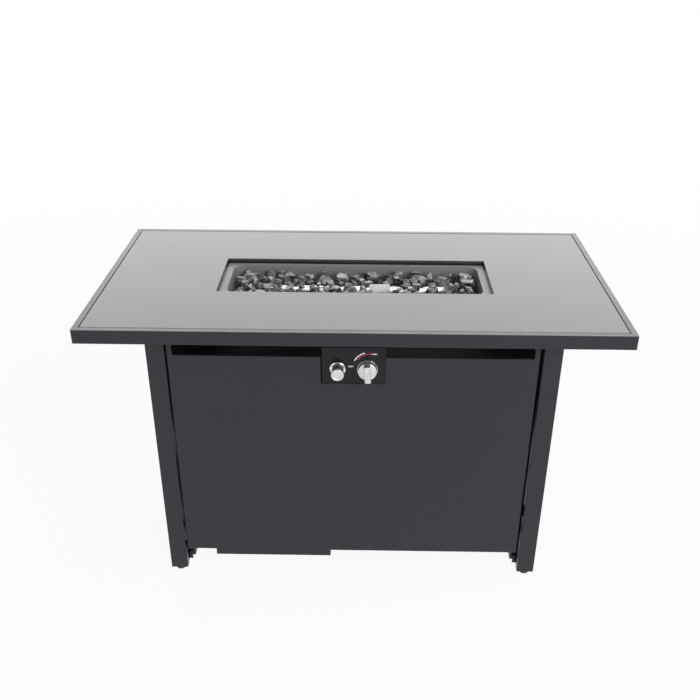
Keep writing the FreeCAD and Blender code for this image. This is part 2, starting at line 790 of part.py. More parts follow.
def draw_elbow(path):
    """A vertical run, a quarter bend and a run to the front, down the middle of the elbow."""
    bend = size("elbow_bend")
    level = size(CONTROL_LEVEL)
    top = size(ELBOW_TOP)
    down = path.addGeometry(Part.LineSegment(FreeCAD.Vector(0, top, 0), FreeCAD.Vector(0, level + bend, 0)))
    along = path.addGeometry(Part.LineSegment(FreeCAD.Vector(-bend, level, 0),
                                              FreeCAD.Vector(-size("elbow_reach"), level, 0)))
    arc = Part.ArcOfCircle(Part.Circle(FreeCAD.Vector(-bend, level + bend, 0), Z_AXIS, bend),
                           -math.pi / 2, 0)
    corner = path.addGeometry(arc)
    pin_point(path, down, 1, "0", ELBOW_TOP)
    pin_point(path, down, 2, "0", CONTROL_LEVEL + " + elbow_bend")
    pin_point(path, along, 1, "-elbow_bend", CONTROL_LEVEL)
    pin_point(path, along, 2, "-elbow_reach", CONTROL_LEVEL)
    path.addConstraint(Sketcher.Constraint("Coincident", down, 2, corner, 2))
    path.addConstraint(Sketcher.Constraint("Coincident", along, 1, corner, 1))
    limit = Sketcher.Constraint("Radius", corner, bend)
    path.setExpression("Constraints[%d]" % path.addConstraint(limit), linked("elbow_bend"))


def make_gas_line():
    """The orifice fitting, the rigid pipe from the valve and the flare nuts at both its ends."""
    fitting = new_body("orifice_fitting")
    turn(fitting, "Y", [("0", "-orifice_shank"), ("flare_thread_radius", "-orifice_shank"),
                        ("flare_thread_radius", "0"), ("orifice_radius", "0"),
                        ("orifice_radius", "orifice_nose - orifice_nose_radius"),
                        ("orifice_nose_radius", "orifice_nose"), ("0", "orifice_nose")])
    pad(fitting, "XZ", "-orifice_hex_length", "0", hexagonal("orifice_hex_radius"))
    pocket(fitting, "XZ", "-orifice_shank", "0", ("0", "0", "pipe_radius - pipe_wall"))
    pocket(fitting, "XZ", "0", "orifice_nose", ("0", "0", "orifice_bore"))
    node("orifice_fitting", place(fitting, "0", ORIFICE_FRONT, CONTROL_LEVEL))

    start_y, stop_y = VALVE_OUTLET, ORIFICE_FRONT + " - orifice_shank"
    middle = "((%s) + (%s))/2" % (start_y, stop_y)
    route = [("knob_place", start_y), ("knob_place", middle + " - knob_place/2"),
             ("0", middle + " + knob_place/2"), ("0", stop_y)]
    spots = [FreeCAD.Vector(size(x), size(y), size(CONTROL_LEVEL)) for x, y in route]
    path = rounded_path(spots, size("pipe_bend"))
    rings = [Part.Wire(Part.Circle(spots[0], Y_AXIS, size(radius)).toShape())
             for radius in ("pipe_radius", "pipe_radius - pipe_wall")]
    outer, inner = (path.makePipeShell([ring], True, False) for ring in rings)
    pipe = doc.addObject("Part::Feature", "gas_pipe")
    pipe.Shape = outer.cut(inner)
    node("gas_pipe", pipe)

    nuts = []
    for x, y, way in (("knob_place", start_y + " - flare_overlap", "y"),
                      ("0", stop_y + " + flare_overlap", "-y")):
        hexa = hexagon("flare_hex", "orifice_hex_radius", "flare_nut_length", way, x, y, CONTROL_LEVEL)
        thread = cylinder("flare_thread", "flare_thread_radius", "flare_overlap", way, x, y, CONTROL_LEVEL)
        throat = cylinder("flare_throat", "pipe_radius", "flare_nut_length", way, x, y, CONTROL_LEVEL)
        nuts.append(cut("flare_nut", hexa, fuse("flare_bore", thread, throat)))
    group("flare_nuts", nuts)


def rounded_path(spots, radius):
    """Straight runs through the spots, joined by tangent arcs."""
    pieces = []
    here = spots[0]
    for before, corner, after in zip(spots, spots[1:], spots[2:]):
        back, ahead = (before - corner).normalize(), (after - corner).normalize()
        half = back.getAngle(ahead) / 2
        reach = radius / math.tan(half)
        middle = corner + (back + ahead).normalize() * (radius / math.sin(half) - radius)
        pieces.append(Part.LineSegment(here, corner + back * reach).toShape())
        pieces.append(Part.Arc(corner + back * reach, middle, corner + ahead * reach).toShape())
        here = corner + ahead * reach
    pieces.append(Part.LineSegment(here, spots[-1]).toShape())
    return Part.Wire(pieces)


def make_pilot():
    shield = new_body("pilot_shield")
    left, right = "shield_start", "shield_start + shield_width"
    front, back = "-shield_setback - shield_sheet", "-shield_setback"
    top = "overall_height - shield_drop"
    plate = [(left, PAN_FLOOR), (right, PAN_FLOOR), (right, top, "shield_corner"), (left, top, "shield_corner")]
    pad(shield, "XZ", front, back, plate)
    pad(shield, "XY", PAN_FLOOR, PAN_FLOOR + " + shield_sheet",
        rectangle(left, right, front + " - shield_foot", back))
    shelf = PAN_FLOOR + " + shield_shelf_level"
    pad(shield, "XY", shelf, shelf + " + shield_sheet",
        rectangle(left, right, front, "-rod_setback + electrode_radius + shelf_margin"))
    rods = [("shield_start + rod_inset", "-rod_setback", "electrode_radius"),
            ("shield_start + shield_width - rod_inset", "-rod_setback", "probe_radius")]
    pocket(shield, "XY", shelf, shelf + " + shield_sheet", *rods)
    node("pilot_shield", shield)

    foot = PAN_UNDER + " - rod_tail"
    x, y, radius = rods[0]
    ceramic = cylinder("ceramic", radius, "rod_tail + pan_depth - ceramic_depth", "z", x, y, foot)
    tip = foot + " + rod_tail + pan_depth - ceramic_depth"
    wire = cylinder("wire", "electrode_wire", "electrode_tip", "z", x, y, tip)
    bend = tip + " + electrode_tip - electrode_wire"
    hook = cylinder("hook", "electrode_wire", "electrode_tip", "y", x, y, bend)
    node("igniter_electrode", fuse("igniter_electrode", ceramic, wire, hook))

    x, y, radius = rods[1]
    probe = new_body("thermocouple")
    length = "rod_tail + pan_depth - probe_depth"
    turn(probe, "Z", [("0", "0"), (radius, "0"), (radius, length + " - probe_taper"),
                      ("probe_tip_radius", length), ("0", length)])
    node("thermocouple", place(probe, x, y, foot))


# shapes of stone, places looked at for each stone, and refusals in a row before the bed counts as full
STONE_SHAPES = 24
STONE_LOOKS = 6
STONE_PATIENCE = 60


class Facets:
    """A piece with flat faces, to find how high another one has to lie to clear it."""

    def __init__(self, points, triangles, edges):
        self.points = points
        self.triangles = triangles
        self.edges = edges
        self.box = [(min(p[i] for p in points), max(p[i] for p in points)) for i in (0, 1, 2)]

    def corners_of(self, parts):
        return [[self.points[n] for n in part] for part in parts]

    def near(self, other):
        return all(a[0] <= b[1] and b[0] <= a[1] for a, b in zip(self.box[:2], other.box[:2]))

    def lift_over(self, other):
        """How far this piece has to rise to lie on the other one."""
        lifts = [level - point[2] for face in other.corners_of(other.triangles) for point in self.points
                 for level in level_under(point, face)]
        lifts += [point[2] - level for face in self.corners_of(self.triangles) for point in other.points
                  for level in level_under(point, face)]
        theirs = other.corners_of(other.edges)
        lifts += [rise for mine in self.corners_of(self.edges) for edge in theirs
                  for rise in crossing(mine, edge)]
        return max(lifts, default=-math.inf)


class Stone(Facets):
    """A broken stone: a block whose corners two turned blocks have taken off."""

    def __init__(self, solid, points, triangles, edges):
        super().__init__(points, triangles, edges)
        self.solid = solid

    @classmethod
    def broken(cls, rng):
        """A stone of its own shape."""
        grow = rng.uniform(0.5, 1)
        flat = rng.choice((0.4, 0.8))
        blocks = None
        for tilt in (0, 90, 90):
            sides = [grow * rng.uniform(low, 1.1) * size("stone_" + side)
                     for side, low in (("width", 0.8), ("depth", 0.8), ("height", flat))]
            block = Part.makeBox(*sides, FreeCAD.Vector(*sides) * -0.5)
            block.Placement.Rotation = FreeCAD.Rotation(rng.uniform(0, 360), rng.uniform(-tilt, tilt),
                                                        rng.uniform(-tilt, tilt))
            blocks = block if blocks is None else blocks.common(block)
        solid = blocks.Solids[0]
        corners, triangles = solid.tessellate(1)
        edges = [[min(range(len(corners)), key=lambda n: corners[n].distanceToPoint(vertex.Point))
                  for vertex in edge.Vertexes] for edge in solid.Edges]
        return cls(solid, [tuple(corner) for corner in corners], triangles, edges)

    def moved(self, x=0, y=0, z=0, turned=FreeCAD.Rotation()):
        placement = FreeCAD.Placement(FreeCAD.Vector(x, y, z), turned)
        points = [tuple(placement.multVec(FreeCAD.Vector(*point))) for point in self.points]
        return Stone(self.solid.transformed(placement.toMatrix()), points, self.triangles, self.edges)

    def stands_free(self):
        """Whether the stone is inside the pan and beside the pilot shield."""
        half_x, half_y = (size("%s/2 - pan_draft" % side) - 1 for side in ("pan_length", "pan_width"))
        corner = size("pan_corner")
        (left, right), (front, back) = self.box[:2]
        at_shield = (left < size("shield_start + shield_width") + 1 and right > size("shield_start") - 1
                     and back > -size("shield_setback + shield_sheet + shield_foot") - 1
                     and front < size("electrode_radius - rod_setback") + 9)
        inside = all(math.hypot(max(abs(x) - half_x + corner, 0), max(abs(y) - half_y + corner, 0)) < corner
                     for x, y, _ in self.points)
        return inside and not at_shield

    def let_down(self, laid):
        """The stone where it comes to lie on the pan's floor or on what is laid, if it fits there."""
        gap = size("rest_gap")
        bottom, top = self.box[2]
        level = size(PAN_FLOOR) + gap
        for other in sorted(filter(self.near, laid), key=lambda piece: -piece.box[2][1]):
            if other.box[2][1] + gap > level:
                level = max(level, bottom + self.lift_over(other) + gap)
            if level + top - bottom > size("overall_height - stone_headroom"):
                return []
        return [self.moved(z=level - bottom)]


def level_under(point, face):
    """The level of a triangle above or below a point, if it has one."""
    (ax, ay, az), (bx, by, bz), (cx, cy, cz) = face
    x, y = point[:2]
    area = (bx - ax) * (cy - ay) - (by - ay) * (cx - ax)
    if abs(area) < 1e-9:
        return []
    u = ((bx - x) * (cy - y) - (by - y) * (cx - x)) / area
    v = ((cx - x) * (ay - y) - (cy - y) * (ax - x)) / area
    inside = u >= 0 and v >= 0 and u + v <= 1
    return [u * az + v * bz + (1 - u - v) * cz] if inside else []


def crossing(mine, theirs):
    """How far their edge lies above mine where the two cross in plan, if they do."""
    (ax, ay, az), (bx, by, bz) = mine
    (cx, cy, cz), (dx, dy, dz) = theirs
    turn_of = (bx - ax) * (dy - cy) - (by - ay) * (dx - cx)
    if abs(turn_of) < 1e-9:
        return []
    t = ((cx - ax) * (dy - cy) - (cy - ay) * (dx - cx)) / turn_of
    u = ((cx - ax) * (by - ay) - (cy - ay) * (bx - ax)) / turn_of
    if not (0 <= t <= 1 and 0 <= u <= 1):
        return []
    return [cz + u * (dz - cz) - az - t * (bz - az)]


def grid(rows):
    """A surface through rows of points."""
    wide = len(rows[0])
    triangles = []
    for i in range(len(rows) - 1):
        for j in range(wide - 1):
            n = i * wide + j
            triangles += [(n, n + 1, n + wide), (n + 1, n + wide, n + wide + 1)]
    points = [point for row in rows for point in row]
    pairs = {pair for triangle in triangles for pair in itertools.combinations(sorted(triangle), 2)}
    return Facets(points, triangles, sorted(pairs))


def under_stones():
    """The upper sides of the burner tube and of its saddles."""
    level, half, end = size(TUBE_LEVEL), size("tube_length/2"), size("tube_length/2 + crimp_length")
    rows = []
    for x in (-end, -half, half, end):
        flat = abs(x) > half + 1
        wide = size("crimp_half_width" if flat else "tube_radius") * 1.01
        high = size("crimp_half_height" if flat else "tube_radius") * 1.01
        rows.append([(x, wide * math.cos(math.pi * n / 12), level + high * math.sin(math.pi * n / 12))
                     for n in range(13)])
    pieces = [grid(rows)]
    reach, thick = size("tube_radius + 2"), size("saddle_width/2")
    for side in (-1, 1):
        x = side * size("saddle_spacing/2")
        pieces.append(grid([[(x + a * thick, b * reach, level) for b in (-1, 1)] for a in (-1, 1)]))
    return pieces


def make_stones():
    """A bed of broken stones, each let down where the lowest of a few lands, until no more go in."""
    rng = random.Random(4)
    shapes = sorted((Stone.broken(rng) for _ in range(STONE_SHAPES)), key=lambda stone: -stone.solid.Volume)
    reach_x = size("pan_length/2 - pan_draft - stone_width/4")
    reach_y = size("pan_width/2 - pan_draft - stone_depth/4")
    laid = under_stones()
    seats = len(laid)
    for batch in (shapes[:STONE_SHAPES//2], shapes[STONE_SHAPES//2:]):
        refused = 0
        while refused < STONE_PATIENCE:
            landed = []
            for _ in range(STONE_LOOKS):
                turned = FreeCAD.Rotation(rng.uniform(0, 360), rng.uniform(-40, 40), rng.choice((0, 180)))
                stone = rng.choice(batch).moved(rng.uniform(-reach_x, reach_x), rng.uniform(-reach_y, reach_y),
                                                0, turned)
                landed += stone.let_down(laid) if stone.stands_free() else []
            laid += sorted(landed, key=lambda stone: stone.box[2])[:1]
            refused = 0 if landed else refused + 1
    bed = doc.addObject("Part::Feature", "lava_stones")
    bed.Shape = Part.makeCompound([stone.solid for stone in laid[seats:]])
    node("lava_stones", bed)


# cabinet

def leg_point(side, end, inward, back):
    """A point of a corner leg, measured inward from its outer side and back from its face."""
    return ("%d*(cabinet_length/2 - (%s))" % (side, inward), "%d*(cabinet_depth/2 - (%s))" % (end, back))


def span(sign, near, far):
    """Two levels on one side of the middle, the lower one first."""
    ends = ["%d*(%s)" % (sign, near), "%d*(%s)" % (sign, far)]
    return ends if sign > 0 else ends[::-1]


def make_leg(name, side, end):
    """A folded corner: lip, face, outer side and the flange that the rails and panels bolt to."""
    body = new_body(name)
    section = [("0", "0", "leg_fold"), ("leg_face", "0", "leg_fold"), ("leg_face", "leg_lip"),
               ("leg_face - leg_sheet", "leg_lip"), ("leg_face - leg_sheet", "leg_sheet"),
               ("leg_sheet", "leg_sheet"), ("leg_sheet", "leg_depth - leg_sheet"),
               ("leg_flange", "leg_depth - leg_sheet"), ("leg_flange", "leg_depth"),
               ("0", "leg_depth", "leg_fold")]
    pad(body, "XY", "foot_height", DECK_UNDER,
        [leg_point(side, end, *corner[:2]) + corner[2:] for corner in section])
    plate = [leg_point(side, end, u, v) for u, v in
             rectangle("leg_sheet", "leg_face - leg_sheet", "leg_sheet", "leg_depth - leg_sheet")]
    middle = leg_point(side, end, "leg_face/2", "leg_depth/2")
    pad(body, "XY", "foot_height", "foot_height + leg_plate", plate,
        middle + ("foot_stud_radius + running_gap",))
    pad(body, "XY", DECK_UNDER + " - leg_plate", DECK_UNDER, plate, middle + ("bolt_radius + bolt_play",))
    flange = span(end, "cabinet_depth/2 - leg_depth", "cabinet_depth/2 - leg_depth + leg_sheet")
    holes = [("%d*(cabinet_length/2 - screw_edge)" % side, level, "screw_radius")
             for level in PANEL_SCREW_LEVELS]
    holes.append(("%d*%s" % (side, SIDE_RAIL), RAIL_MIDDLE, "bolt_radius"))
    pocket(body, "XZ", *flange, *holes)
    lip = span(side, OPENING, OPENING + " + leg_sheet")
    depth = "%d*(cabinet_depth/2 - screw_edge)" % end
    levels = PANEL_SCREW_LEVELS if end > 0 else (RAIL_BOTTOM + " + rail_size/2",)
    pocket(body, "YZ", *lip, *[(depth, level, "screw_radius") for level in levels])
    node(name, body)


def make_foot(name, side, end):
    """A screw foot that turns in the leg's bottom plate."""
    body = new_body(name)
    stud = "foot_stud_radius"
    neck = "foot_height - rest_gap"
    turn(body, "Z", [("0", "0"), ("foot_radius", "0"), ("foot_radius", "foot_rim_height"),
                     ("foot_cone_radius", "foot_cone_height"), ("foot_neck_radius", "foot_cone_height"),
                     ("foot_neck_radius", neck), (stud, neck), (stud, "foot_height + foot_stud_length"),
                     ("0", "foot_height + foot_stud_length")])
    node(name, place(body, *leg_point(side, end, "leg_face/2", "leg_depth/2"), "0"))


def make_side_panel(name, side):
    """A folded sheet between the flanges of two legs, with a vent slot along its top."""
    body = new_body(name)
    half = "(cabinet_depth/2 - leg_depth)"
    skin = span(side, "cabinet_length/2 - panel_sheet", "cabinet_length/2")
    fold = span(side, "cabinet_length/2 - panel_fold", "cabinet_length/2 - panel_sheet")
    pad(body, "YZ", *skin, rectangle("-" + half, half, "panel_bottom", DECK_UNDER),
        rectangle("-%s + side_slot_inset" % half, half + " - side_slot_inset",
                  SLOT_BOTTOM, SLOT_TOP, "slot_corner"))
    pad(body, "YZ", *fold, rectangle("-" + half, half, "panel_bottom", DECK_UNDER),
        rectangle("-%s + panel_sheet" % half, half + " - panel_sheet",
                  "panel_bottom + panel_sheet", DECK_UNDER + " - panel_sheet"))
    holes = [("%d*(cabinet_length/2 - screw_edge)" % side, level, "screw_radius")
             for level in PANEL_SCREW_LEVELS]
    for end in (-1, 1):
        pocket(body, "XZ", *span(end, half + " - panel_sheet", half), *holes)
    node(name, body)


def make_rear_panel():
    body = new_body("rear_panel")
    outline = rectangle("-" + OPENING, OPENING, "panel_bottom", DECK_UNDER)
    pad(body, "XZ", "cabinet_depth/2 - panel_sheet", "cabinet_depth/2", outline,
        rectangle("-%s + slot_inset" % OPENING, OPENING + " - slot_inset",
                  SLOT_BOTTOM, SLOT_TOP, "slot_corner"))
    pad(body, "XZ", "cabinet_depth/2 - panel_fold", "cabinet_depth/2 - panel_sheet", outline,
        rectangle("-%s + panel_sheet" % OPENING, OPENING + " - panel_sheet",
                  "panel_bottom + panel_sheet", DECK_UNDER + " - panel_sheet"))
    holes = [("cabinet_depth/2 - screw_edge", level, "screw_radius") for level in PANEL_SCREW_LEVELS]
    for side in (-1, 1):
        pocket(body, "YZ", *span(side, OPENING + " - panel_sheet", OPENING), *holes)
    node("rear_panel", body)


def make_door():
    """The access door: folded edges, a long slot and a notch that clears the control panel."""
    body = new_body("access_door")
    left, right = "(-%s + door_gap_left)" % OPENING, "(%s - door_gap_right)" % OPENING
    outline = rectangle(left, right, "panel_bottom", DOOR_TOP)
    slot_left, slot_right = left + " + slot_inset", right + " - slot_inset"
    notch_left, notch_right = "-plate_width/2 - notch_gap_left", "plate_width/2 + notch_gap_right"
    notch_bottom = PLATE_BOTTOM + " - notch_gap_bottom"
    opening = [(slot_left, SLOT_BOTTOM, "slot_corner"), (notch_left, SLOT_BOTTOM),
               (notch_left, notch_bottom), (notch_right, notch_bottom), (notch_right, SLOT_BOTTOM),
               (slot_right, SLOT_BOTTOM, "slot_corner"), (slot_right, SLOT_TOP, "slot_corner"),
               (slot_left, SLOT_TOP, "slot_corner")]
    skin_back, fold_back = FACE + " + panel_sheet", FACE + " + panel_fold"
    pad(body, "XZ", FACE, skin_back, outline, opening)
    pad(body, "XZ", skin_back, fold_back, outline,
        rectangle(left + " + panel_sheet", right + " - panel_sheet",
                  "panel_bottom + panel_sheet", DOOR_TOP + " - panel_sheet"))
    pad(body, "XZ", fold_back + " - panel_sheet", fold_back,
        rectangle(right + " - panel_fold - catch_width/2", right + " - panel_sheet",
                  "panel_bottom + panel_sheet", SLOT_BOTTOM + " - panel_sheet"))
    for x0, x1 in ((slot_left + " + slot_corner", notch_left), (notch_right, slot_right + " - slot_corner")):
        pad(body, "XZ", skin_back, skin_back + " + slot_lip",
            rectangle(x0, x1, SLOT_BOTTOM + " - panel_sheet", SLOT_BOTTOM))
    pivot = (PIVOT_X, PIVOT_Y, "pivot_radius + running_gap")
    pocket(body, "XY", "panel_bottom", "panel_bottom + panel_sheet", pivot)
    pocket(body, "XY", DOOR_TOP + " - panel_sheet", DOOR_TOP, pivot)
    node("access_door", body)


def make_hinges():
    """Two pivot pins, one in the top rail and one on a bracket of the left leg."""
    upper = new_body("upper_hinge_pin")
    shaft = "pivot_radius"
    turn(upper, "Z", [("0", "-door_gap_top - panel_sheet - pivot_reach"),
                      (shaft, "-door_gap_top - panel_sheet - pivot_reach"), (shaft, "-collar_height"),
                      ("pivot_collar_radius", "-collar_height"), ("pivot_collar_radius", "0"), (shaft, "0"),
                      (shaft, "rail_sheet"), ("0", "rail_sheet")])
    node("upper_hinge_pin", place(upper, PIVOT_X, PIVOT_Y, RAIL_BOTTOM))

    tab_top = "panel_bottom - rest_gap - collar_height"
    lower = new_body("lower_hinge_pin")
    turn(lower, "Z", [("0", "-leg_sheet*2"), ("pivot_rivet_radius", "-leg_sheet*2"),
                      ("pivot_rivet_radius", "-leg_sheet"), (shaft, "-leg_sheet"), (shaft, "0"),
                      ("pivot_collar_radius", "0"), ("pivot_collar_radius", "collar_height"),
                      (shaft, "collar_height"), (shaft, "collar_height + rest_gap + pivot_reach"),
                      ("0", "collar_height + rest_gap + pivot_reach")])
    node("lower_hinge_pin", place(lower, PIVOT_X, PIVOT_Y, tab_top))

    bracket = new_body("lower_hinge_bracket")
    lip_clear = "(-%s + bracket_play)" % OPENING
    far_left, right = "(-%s - leg_face/2)" % OPENING, PIVOT_X + " + bracket_reach"
    behind_lip = FACE + " + leg_lip + bracket_play"
    tab_front = FACE + " + bracket_setback"
    tab = [(lip_clear, tab_front), (right, tab_front, "bracket_corner"), (right, FLANGE_FRONT),
           (far_left, FLANGE_FRONT), (far_left, behind_lip), (lip_clear, behind_lip)]
    pad(bracket, "XY", tab_top + " - leg_sheet", tab_top, tab, (PIVOT_X, PIVOT_Y, "pivot_radius"))
    pad(bracket, "XZ", FLANGE_FRONT + " - leg_sheet", FLANGE_FRONT,
        rectangle(far_left, "-cabinet_length/2 + leg_flange", tab_top + " - bracket_drop", tab_top))
    node("lower_hinge_bracket", bracket)


def make_catches():
    """Magnetic catches on the right leg's flange, just clear of the door's folded edge."""
    catches = []
    for level in ("catch_low", "catch_high"):
        body = new_body("magnet_catch")
        right = OPENING + " - door_gap_right - panel_sheet"
        left = right + " - catch_width"
        front = FACE + " + panel_fold + rest_gap"
        ear = FLANGE_FRONT + " - catch_ear"
        pad(body, "XY", level, level + " + catch_height",
            [(left, front), (right, front, "catch_corner"), (right, ear), (OPENING + " + leg_face/2", ear),
             (OPENING + " + leg_face/2", FLANGE_FRONT), (left, FLANGE_FRONT)])
        catches.append(body)
    group("magnet_catches", catches)


def square_tube(name, plane, start, stop, x, y):
    """A rail of square tube with closed ends, its axis along X or Y."""
    body = new_body(name)
    outer = rectangle(x + " - rail_size/2", x + " + rail_size/2", y + " - rail_size/2", y + " + rail_size/2",
                      "rail_corner")
    inner = rectangle(x + " - rail_size/2 + rail_sheet", x + " + rail_size/2 - rail_sheet",
                      y + " - rail_size/2 + rail_sheet", y + " + rail_size/2 - rail_sheet")
    pad(body, plane, start, stop, outer)
    pocket(body, plane, start + " + leg_plate", stop + " - leg_plate", inner)
    return body


def make_rails():
    half = "(cabinet_depth/2 - leg_depth)"
    for name, side in (("side_rail_left", -1), ("side_rail_right", 1)):
        x = "%d*%s" % (side, SIDE_RAIL)
        body = square_tube(name, "XZ", "-" + half, half, x, RAIL_MIDDLE)
        for end in (-1, 1):
            pocket(body, "XZ", *span(end, half + " - leg_plate", half), (x, RAIL_MIDDLE, "bolt_radius"))
        holes = [("%d*cross_spacing/2" % end, RAIL_MIDDLE, "bolt_radius") for end in (-1, 1)]
        pocket(body, "YZ", x + " - rail_size/2", x + " + rail_size/2", *holes)
        node(name, body)
    reach = "(%s - rail_size/2)" % SIDE_RAIL
    for name, end in (("cross_rail_front", -1), ("cross_rail_rear", 1)):
        y = "%d*cross_spacing/2" % end
        body = square_tube(name, "YZ", "-" + reach, reach, y, RAIL_MIDDLE)
        for side in (-1, 1):
            pocket(body, "YZ", *span(side, reach + " - leg_plate", reach), (y, RAIL_MIDDLE, "bolt_radius"))
        holes = [(x, y, "screw_radius") for x in TRAY_BOLTS]
        pocket(body, "XY", RAIL_TOP + " - rail_sheet", RAIL_TOP, *holes)
        node(name, body)
    y, z = TOP_RAIL_FRONT + " + rail_size/2", RAIL_BOTTOM + " + rail_size/2"
    body = square_tube("front_top_rail", "YZ", "-" + OPENING, OPENING, y, z)
    for side in (-1, 1):
        pocket(body, "YZ", *span(side, OPENING + " - leg_plate", OPENING),
               (FACE + " + screw_edge", z, "screw_radius"))
    pocket(body, "XY", RAIL_BOTTOM, RAIL_BOTTOM + " + rail_sheet", (PIVOT_X, PIVOT_Y, "pivot_radius"))
    rail_back = TOP_RAIL_FRONT + " + rail_size"
    pocket(body, "XZ", rail_back + " - rail_sheet", rail_back,
           *[("%d*hanger_screws" % side, z, "screw_radius") for side in (-1, 1)])
    node("front_top_rail", body)


def make_tray():
    """The tray that carries the gas cylinder, laid across the two cross rails."""
    body = new_body("tank_tray")
    left, right = "(tray_centre - tray_width/2)", "(tray_centre + tray_width/2)"
    front = "(%s + panel_fold)" % FACE
    top = "(%s + tray_sheet)" % RAIL_TOP
    pad(body, "XY", RAIL_TOP, top, rectangle(left, right, front, "tray_back"),
        ("tray_centre", "0", "tray_hole_radius"))
    sides = top + " + tray_side"
    pad(body, "XY", top + " - tray_sheet - tray_lip", sides,
        rectangle(left, right, front, front + " + tray_sheet"))
    pad(body, "XY", top, sides, rectangle(left, left + " + tray_sheet", front, "tray_back"))
    pad(body, "XY", top, sides, rectangle(right + " - tray_sheet", right, front, "tray_back"))
    pad(body, "XY", top, sides, rectangle(left, right, "tray_back - tray_sheet", "tray_back"))
    pad(body, "XY", top, top + " + tray_ring_height", ("tray_centre", "0", "tray_ring_radius"),
        ("tray_centre", "0", "tray_ring_radius - tray_ring_width"))
    holes = [(x, "%d*cross_spacing/2" % end, "screw_radius") for x in TRAY_BOLTS for end in (-1, 1)]
    pocket(body, "XY", RAIL_TOP, top, *holes)
    node("tank_tray", body)


def make_fasteners():
    """Bolts of the frame, then the small screws of the panels and of the control box."""
    bolts = []
    half = "(cabinet_depth/2 - leg_depth + leg_sheet)"
    for side in (-1, 1):
        x = "%d*%s" % (side, SIDE_RAIL)
        outer = "%d*(%s + rail_size/2)" % (side, SIDE_RAIL)
        inward = "-x" if side > 0 else "x"
        for end in (-1, 1):
            way = "-y" if end > 0 else "y"
            bolts.append(bolt(x, "%d*%s" % (end, half), RAIL_MIDDLE, way, "leg_sheet + leg_plate"))
            bolts.append(bolt(outer, "%d*cross_spacing/2" % end, RAIL_MIDDLE, inward, "rail_size + leg_plate"))
            x_leg, y_leg = leg_point(side, end, "leg_face/2", "leg_depth/2")
            bolts.append(bolt(x_leg, y_leg, DECK_UNDER + " - leg_plate", "z", "leg_plate + top_sheet"))
            for x_tray in TRAY_BOLTS[:1] if side < 0 else TRAY_BOLTS[1:]:
                bolts.append(screw(x_tray, "%d*cross_spacing/2" % end, RAIL_TOP + " + tray_sheet", "-z",
                                   "tray_sheet + rail_sheet"))
    group("frame_bolts", bolts)

    screws = []
    grip = "leg_sheet + panel_sheet"
    for side in (-1, 1):
        for level in PANEL_SCREW_LEVELS:
            for end in (-1, 1):
                x = "%d*(cabinet_length/2 - screw_edge)" % side
                screws.append(screw(x, "%d*%s" % (end, half), level, "-y" if end > 0 else "y", grip))
            x = "%d*(%s + leg_sheet)" % (side, OPENING)
            screws.append(screw(x, "cabinet_depth/2 - screw_edge", level, "-x" if side > 0 else "x", grip))
        x = "%d*(%s + leg_sheet)" % (side, OPENING)
        screws.append(screw(x, FACE + " + screw_edge", RAIL_BOTTOM + " + rail_size/2",
                            "-x" if side > 0 else "x", "leg_sheet + leg_plate"))
    group("panel_screws", screws)

    screws = []
    for side in (-1, 1):
        x = "%d*hanger_screws" % side
        screws.append(screw(x, HANGER_BACK, RAIL_BOTTOM + " + rail_size/2", "-y", "hanger_sheet + rail_sheet"))
        screws.append(screw(x, HANGER_BACK + " + screw_edge", PLATE_TOP + " + hanger_sheet", "-z",
                            "hanger_sheet + plate_sheet"))
    group("control_screws", screws)


# controls

def make_control_box():
    body = new_body("control_box")
    back = PLATE_FRONT + " + control_depth"
    pad(body, "XZ", PLATE_FRONT, back, rectangle("-plate_width/2", "plate_width/2", PLATE_BOTTOM, PLATE_TOP,
                                             "plate_corner"))
    pocket(body, "XZ", PLATE_BACK, back,
           rectangle("-plate_width/2 + plate_sheet", "plate_width/2 - plate_sheet",
                     PLATE_BOTTOM + " + plate_sheet", PLATE_TOP + " - plate_sheet"))
    pocket(body, "XZ", PLATE_FRONT, PLATE_BACK, ("knob_place", CONTROL_LEVEL, "neck_radius + bolt_play"),
           ("igniter_place", CONTROL_LEVEL, "igniter_thread_radius + bolt_play"))
    holes = [("%d*hanger_screws" % side, HANGER_BACK + " + screw_edge", "screw_radius") for side in (-1, 1)]
    pocket(body, "XY", PLATE_TOP + " - plate_sheet", PLATE_TOP, *holes)
    inlet_front = PLATE_FRONT + " + " + INLET_PLACE + " - inlet_clearance"
    pocket(body, "XY", PLATE_BOTTOM, PLATE_BOTTOM + " + plate_sheet",
           [("knob_place - inlet_clearance", inlet_front, "notch_radius"),
            ("knob_place + inlet_clearance", inlet_front, "notch_radius"),
            ("knob_place + inlet_clearance", back), ("knob_place - inlet_clearance", back)])
    node("control_box", body)

    hanger = new_body("control_bracket")
    half = "hanger_width/2"
    rail_back = TOP_RAIL_FRONT + " + rail_size"
    pad(hanger, "XZ", rail_back, HANGER_BACK,
        rectangle("-" + half, half, PLATE_TOP, DECK_UNDER + " - hanger_drop"),
        *[("%d*hanger_screws" % side, RAIL_BOTTOM + " + rail_size/2", "screw_radius") for side in (-1, 1)])
    pad(hanger, "XY", PLATE_TOP, PLATE_TOP + " + hanger_sheet",
        rectangle("-" + half, half, HANGER_BACK, HANGER_BACK + " + screw_edge*2"), *holes)
    node("control_bracket", hanger)


def on_valve(name, body):
    return node(name, place(body, "knob_place", PLATE_FRONT, CONTROL_LEVEL))


